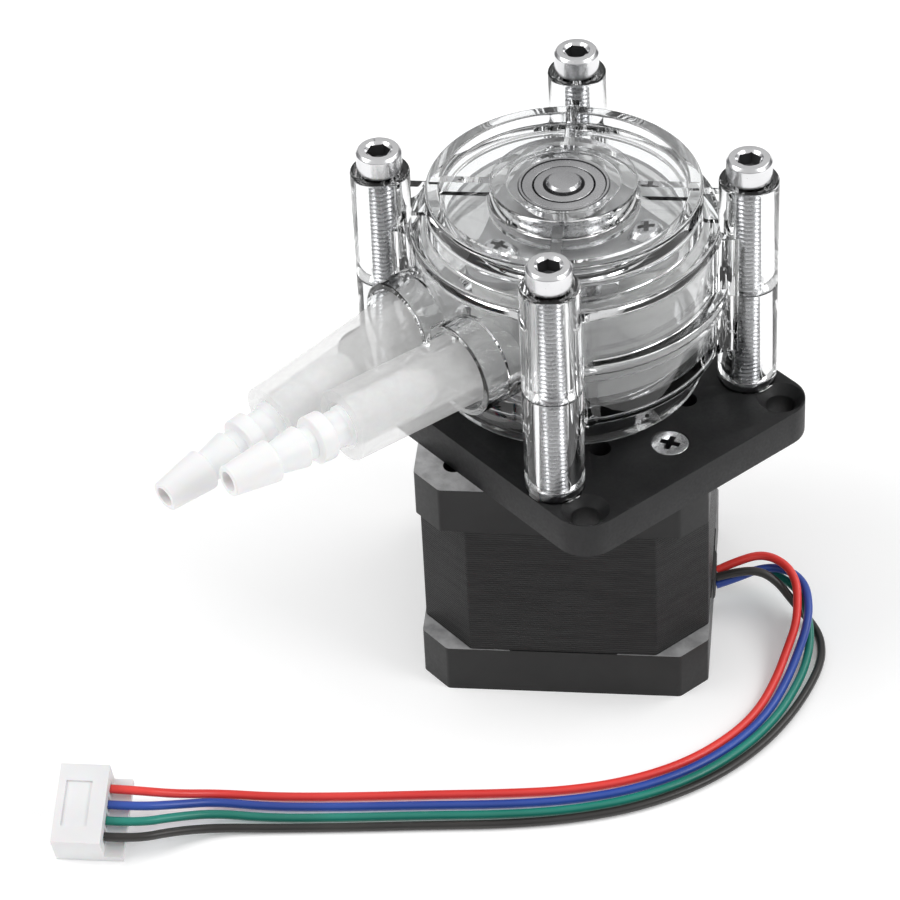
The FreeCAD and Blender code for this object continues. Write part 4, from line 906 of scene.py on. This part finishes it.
def build_bolts():
    heads, shanks = [], []
    for index, (x, y) in enumerate(CORNERS):
        outline = [(0, POST_TOP), (3.0, POST_TOP), (3.25, POST_TOP + 0.3, 0.1),
                   (3.25, BOLT_TOP - 0.45, 0.25), (2.85, BOLT_TOP, 0.15), (0, BOLT_TOP)]
        head = lathe("head", outline, along(x, y, 0), 64)
        socket = prism("socket", circle_points(1.73, 6), BOLT_TOP - 2.2, BOLT_TOP + 1,
                       along(x, y, 0) @ turned_about_z(17 * index + 8))
        bevel = lathe("bevel", [(0, -0.35), (1.62, -0.35), (2.1, 0.12), (0, 0.12)],
                      along(x, y, BOLT_TOP), SMALL_ROUND)
        cone = lathe("cone", [(0, -0.9), (1.6, 0.05), (0, 0.05)], along(x, y, BOLT_TOP - 2.2), SMALL_ROUND)
        carve(head, socket, bevel, cone)
        shank = threaded_rod("shank", POST_TOP - 40, POST_TOP - 0.05, 1.95, 1.5, 0.7)
        shank.data.transform(Matrix.Translation((x, y, 0)))
        heads.append(head)
        shanks.append(shank)
    heads = piece(merge("long_screw_heads", heads), NICKEL, "pump_frame", ["casing_bolts"],
                  smooth=40)
    paint_recess_shade(heads, CORNERS, BOLT_TOP - 0.36, SOCKET_PAINTED_SHADE)
    # The shanks take the darker copy of the nickel: painted shade.
    piece(merge("long_screw_threads", shanks), THREAD_PAINTED_SHADE, "pump_frame", ["casing_bolts"],
          smooth=40)


# ---------------------------------------------------------------- pump bearing

def paint_shade_in_groove(obj, inside, outside, bottom, top):
    """Paints dark shade onto the faces in the gap beside a shield."""
    if BEARING_GAP_PAINTED_SHADE.name not in obj.data.materials:
        obj.data.materials.append(BEARING_GAP_PAINTED_SHADE)
    for face in obj.data.polygons:
        centre = face.center / MM
        reach = math.hypot(centre.x, centre.y)
        if inside < reach < outside and bottom < centre.z < top:
            face.material_index = 1


def build_bearing():
    """Outer ring with a shield groove in its upper face, two shields, and the wide inner ring."""
    low_z, top_z = BEARING_LOW, BEARING_TOP
    outer = lathe("bearing_outer", [(5.45, low_z, 0.1), (6.5, low_z, 0.25), (6.5, top_z - 0.2), (6.32, top_z),
                                    (6.02, top_z), (6.02, top_z - 0.55), (5.45, top_z - 0.55)])
    piece(outer, BEARING, "pump_frame", ["pump_bearing_outer_ring"])
    # Painted shade in the shield groove and along the outer ring's top edge.
    paint_shade_in_groove(outer, 5.3, 6.1, top_z - 0.6, top_z - 0.05)
    paint_shade_in_groove(outer, 6.33, 6.55, top_z - 0.3, top_z)
    inner = lathe("bearing_inner", [(2.51, low_z, 0.15), (3.6, low_z, 0.1), (3.6, top_z - 0.6),
                                    (4.2, top_z - 0.5), (4.2, top_z, 0.1), (2.95, top_z),
                                    (2.51, top_z - 0.35)])
    piece(inner, BEARING, "rotor", ["pump_bearing_inner_ring"])
    # Painted shade in the inner ring's groove and in the dark ring round the journal.
    paint_shade_in_groove(inner, 3.5, 4.3, top_z - 0.7, top_z - 0.12)
    paint_shade_in_groove(inner, 2.5, 2.95, top_z - 0.4, top_z)
    shields = []
    for level in (low_z + 0.2, top_z - 0.32):
        inside = 4.42 if level > low_z + 1 else 3.75
        shields.append(lathe("shield", [(inside, level, 0.05), (5.4, level, 0.05), (5.85, level + 0.08, 0.05),
                                        (5.85, level + 0.25, 0.05), (inside, level + 0.25, 0.08)]))
    piece(merge("bearing_shields", shields), BEARING, "pump_frame", ["pump_bearing_shields"])


# ---------------------------------------------------------------- rotor

def rotor_plate(name, bottom, top, bore, node):
    turns = [math.radians(angle) for angle in PIN_ANGLES]
    tips = [(math.cos(turn) * 20.4, math.sin(turn) * 20.4, 4.2) for turn in turns]
    plate = prism(name, tips, bottom, top, steps=24)
    tools = [rod("centre", bore, 4, along(0, 0, bottom - 1), ROUND)]
    for angle in PIN_ANGLES:
        x, y = pin_place(angle)
        tools.append(rod("hole", 1.52, 4, along(x, y, bottom - 1)))
    carve(plate, *tools)
    soften(plate, 0.18)
    piece(plate, ROTOR, "rotor", [node])


def pin_place(angle):
    return PIN_CIRCLE * math.cos(math.radians(angle)), PIN_CIRCLE * math.sin(math.radians(angle))


def build_rotor():
    plate_under = ROTOR_TOP - 1.6
    hub = lathe("drive_hub", [(2.52, HUB_LOW, 0.1), (5.0, HUB_LOW, 0.3), (5.0, plate_under - 0.02, 0.05),
                              (2.5, plate_under - 0.02), (2.5, ROTOR_TOP), (3.4, ROTOR_TOP, 0.1),
                              (3.4, BEARING_LOW - 0.05, 0.1), (2.5, BEARING_LOW - 0.05),
                              (2.5, JOURNAL_TOP - 0.4, 0.08), (2.15, JOURNAL_TOP, 0.08), (0, JOURNAL_TOP),
                              (0, BORE_END), (2.52, BORE_END)])
    carve(hub, rod("grub_hole", 1.5, 8, along(0, 0, SPLIT - 3, (1, 0, 0))))
    piece(hub, BEARING, "rotor", ["rotor_hub"])
    rotor_plate("upper_plate", plate_under, ROTOR_TOP, 2.55, "rotor_plate_upper")
    rotor_plate("lower_plate", ROTOR_LOW, ROTOR_LOW + 1.6, 5.03, "rotor_plate_lower")
    screws, pins = [], []
    for index, angle in enumerate(PIN_ANGLES):
        x, y = pin_place(angle)
        outline = [(0, -6), (1.45, -6), (1.45, 0), (2.75, 0, 0.1), (2.75, 0.75, 0.5), (1.9, 1.65, 0.6),
                   (0, 1.8)]
        screw = lathe("pan", outline, along(x, y, ROTOR_TOP), SMALL_ROUND)
        cross = along(x, y, ROTOR_TOP + 1.8) @ turned_about_z(20 + 31 * index)
        carve(screw, *cross_recess(3.2, 0.85, 1.1, cross))
        screws.append(screw)
        outline = [(1.48, ROLLER_LOW - 0.28, 0.1), (2.0, ROLLER_LOW - 0.28, 0.1),
                   (2.0, ROLLER_TOP + 0.28, 0.1), (1.48, ROLLER_TOP + 0.28, 0.1)]
        pins.append(lathe("pin", outline, along(x, y, 0), SMALL_ROUND))
        outline = [(2.06, ROLLER_LOW, 0.2), (4.0, ROLLER_LOW, 0.4), (4.0, ROLLER_TOP, 0.4),
                   (2.06, ROLLER_TOP, 0.2)]
        roller = lathe("roller_barrel_%d" % (index + 1), outline, along(x, y, 0), 64)
        piece(roller, ROLLER, "roller_" + "abc"[index], ["roller_%d" % (index + 1)])
    pans = piece(merge("pan_screws", screws), NICKEL, "rotor", ["rotor_screws"])
    paint_recess_shade(pans, [pin_place(angle) for angle in PIN_ANGLES], ROTOR_TOP + 1.5, SOCKET_PAINTED_SHADE)
    piece(merge("shoulder_pins", pins), NICKEL, "rotor", ["roller_pins"])


# ---------------------------------------------------------------- tube and connectors

INLET = [Vector((6.6, -16.4, 61.5)), Vector((6.6, -21.2, 61.5)), Vector((5.34, -44.8, 61.5))]
OUTLET = [Vector((-6.6, -16.4, 61.5)), Vector((-6.6, -21.2, 61.5)), Vector((-5.44, -48.9, 58.12))]
TUBE_R, TUBE_BORE = 5.2, 3.5


def leg(name, run, radius, beyond=0.0, edge=0.0):
    """A round bar along a run of two pieces, with the corner between them taken as a curve."""
    first, second = run[1] - run[0], run[2] - run[1]
    trim = 0.45 * first.length
    start, end = run[1] - first.normalized() * trim, run[1] + second.normalized() * trim
    centres = [run[0] - first.normalized() * beyond]
    for step in range(9):
        t = step / 8
        centres.append(start * (1 - t) ** 2 + run[1] * 2 * t * (1 - t) + end * t ** 2)
    tip = run[2] + second.normalized() * beyond
    radii = [radius] * len(centres)
    if edge:
        centres += [tip - second.normalized() * edge, tip - second.normalized() * edge * 0.3, tip]
        radii += [radius, radius - edge * 0.3, radius - edge]
    else:
        centres.append(tip)
        radii.append(radius)
    bm = bmesh.new()
    rings = []
    for index, centre in enumerate(centres):
        before, after = centres[max(index - 1, 0)], centres[min(index + 1, len(centres) - 1)]
        turn = along(*centre, after - before)
        rings.append([bm.verts.new(turn @ Vector((x, y, 0))) for x, y in circle_points(radii[index], 64)])
    for ring, following in zip(rings, rings[1:]):
        wall_between(bm, ring, following)
    bm.faces.new(rings[0][::-1])
    bm.faces.new(rings[-1])
    return add_object(name, bm)


def loop_solid(name, half_thick, half_high):
    """A flattened tube section carried round the raceway, open over the sockets."""
    first, last = 291, 609        # degrees; the gap between them faces -Y
    middle = 18.4                 # radius of the tube's middle line
    straight = half_high - half_thick
    section = []
    for sign in (1, -1):
        for step in range(9):
            turn = math.pi * step / 8
            section.append((middle + sign * half_thick * math.cos(turn),
                            sign * (straight + half_thick * math.sin(turn))))
    bm = bmesh.new()
    rings = []
    steps = 120
    for step in range(steps + 1):
        turn = math.radians(first + (last - first) * step / steps)
        rings.append([bm.verts.new((r * math.cos(turn), r * math.sin(turn), SPLIT + z)) for r, z in section])
    for ring, following in zip(rings, rings[1:]):
        wall_between(bm, ring, following)
    bm.faces.new(rings[0][::-1])
    bm.faces.new(rings[-1])
    return add_object(name, bm)


def build_tube():
    tube = loop_solid("soft_tube", 2.1, 7.0)
    union(tube, leg("inlet", INLET, TUBE_R, edge=0.3), leg("outlet", OUTLET, TUBE_R, edge=0.3))
    carve(tube, leg("bore", [INLET[0] + Vector((0, -0.5, 0)), *INLET[1:]], TUBE_BORE, beyond=0.5),
          leg("bore", [OUTLET[0] + Vector((0, -0.5, 0)), *OUTLET[1:]], TUBE_BORE, beyond=0.5))
    piece(tube, TUBE, "pump_frame", ["pump_tube"])


def build_connector(name, run, node, end):
    """Barb, waist, flare and collar outside the tube; three barbs inside it."""
    heading = (run[2] - run[1]).normalized()
    tip = run[2] + heading * end
    outline = [(1.4, 0, 0.15), (2.2, 0, 0.25), (3.0, 6.6, 0.2), (3.0, 7.0, 0.15), (2.25, 7.4, 0.3),
               (3.0, 11.7, 0.15), (2.4, 12.1, 0.15), (2.4, 13.3, 0.1), (3.5, 13.6, 0.25), (3.5, 15.9, 0.25),
               (2.65, 16.1, 0.15), (2.65, 18.3, 0.1), (2.9, 18.6), (2.9, 21.4), (3.45, 21.8), (2.9, 25.4),
               (3.45, 25.8), (2.9, 29.4), (3.45, 29.8), (2.2, 33.4, 0.2), (1.4, 33.4, 0.1)]
    body = lathe(name, outline, along(*tip, -heading), 64, steps=4)
    piece(body, FITTING, "pump_frame", [node], smooth=40)


# ---------------------------------------------------------------- carried-over CAD nodes

def dress(node, material):
    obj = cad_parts[node]
    for face in obj.data.polygons:
        face.use_smooth = True
    obj.data.set_sharp_from_angle(angle=math.radians(35))
    obj.data.materials.clear()
    obj.data.materials.append(material)


def dress_hidden():
    """Pieces inside the motor and the bearings keep their CAD shapes and get real finishes."""
    dress("motor_windings", COPPER)
    dress("motor_magnet", MAGNET)
    dress("connector_terminals", TINNED)
    for node in ("motor_wave_washer", "motor_shaft", "pump_bearing_balls", "rotor_set_screw",
                 "rotor_lower_studs"):
        dress(node, BEARING)
    for side in ("front", "rear"):
        for part in ("outer_ring", "inner_ring", "balls"):
            dress("motor_%s_bearing_%s" % (side, part), BEARING)


build_wires(build_plug())
build_bells()
build_stack()
build_tie_screws()
build_bush()
build_plate()
build_cover()
build_base()
build_bolts()
build_bearing()
build_rotor()
build_tube()
build_connector("inlet_fitting", INLET, "tube_connector_inlet", 18.7)
build_connector("outlet_fitting", OUTLET, "tube_connector_outlet", 19.3)
dress_hidden()
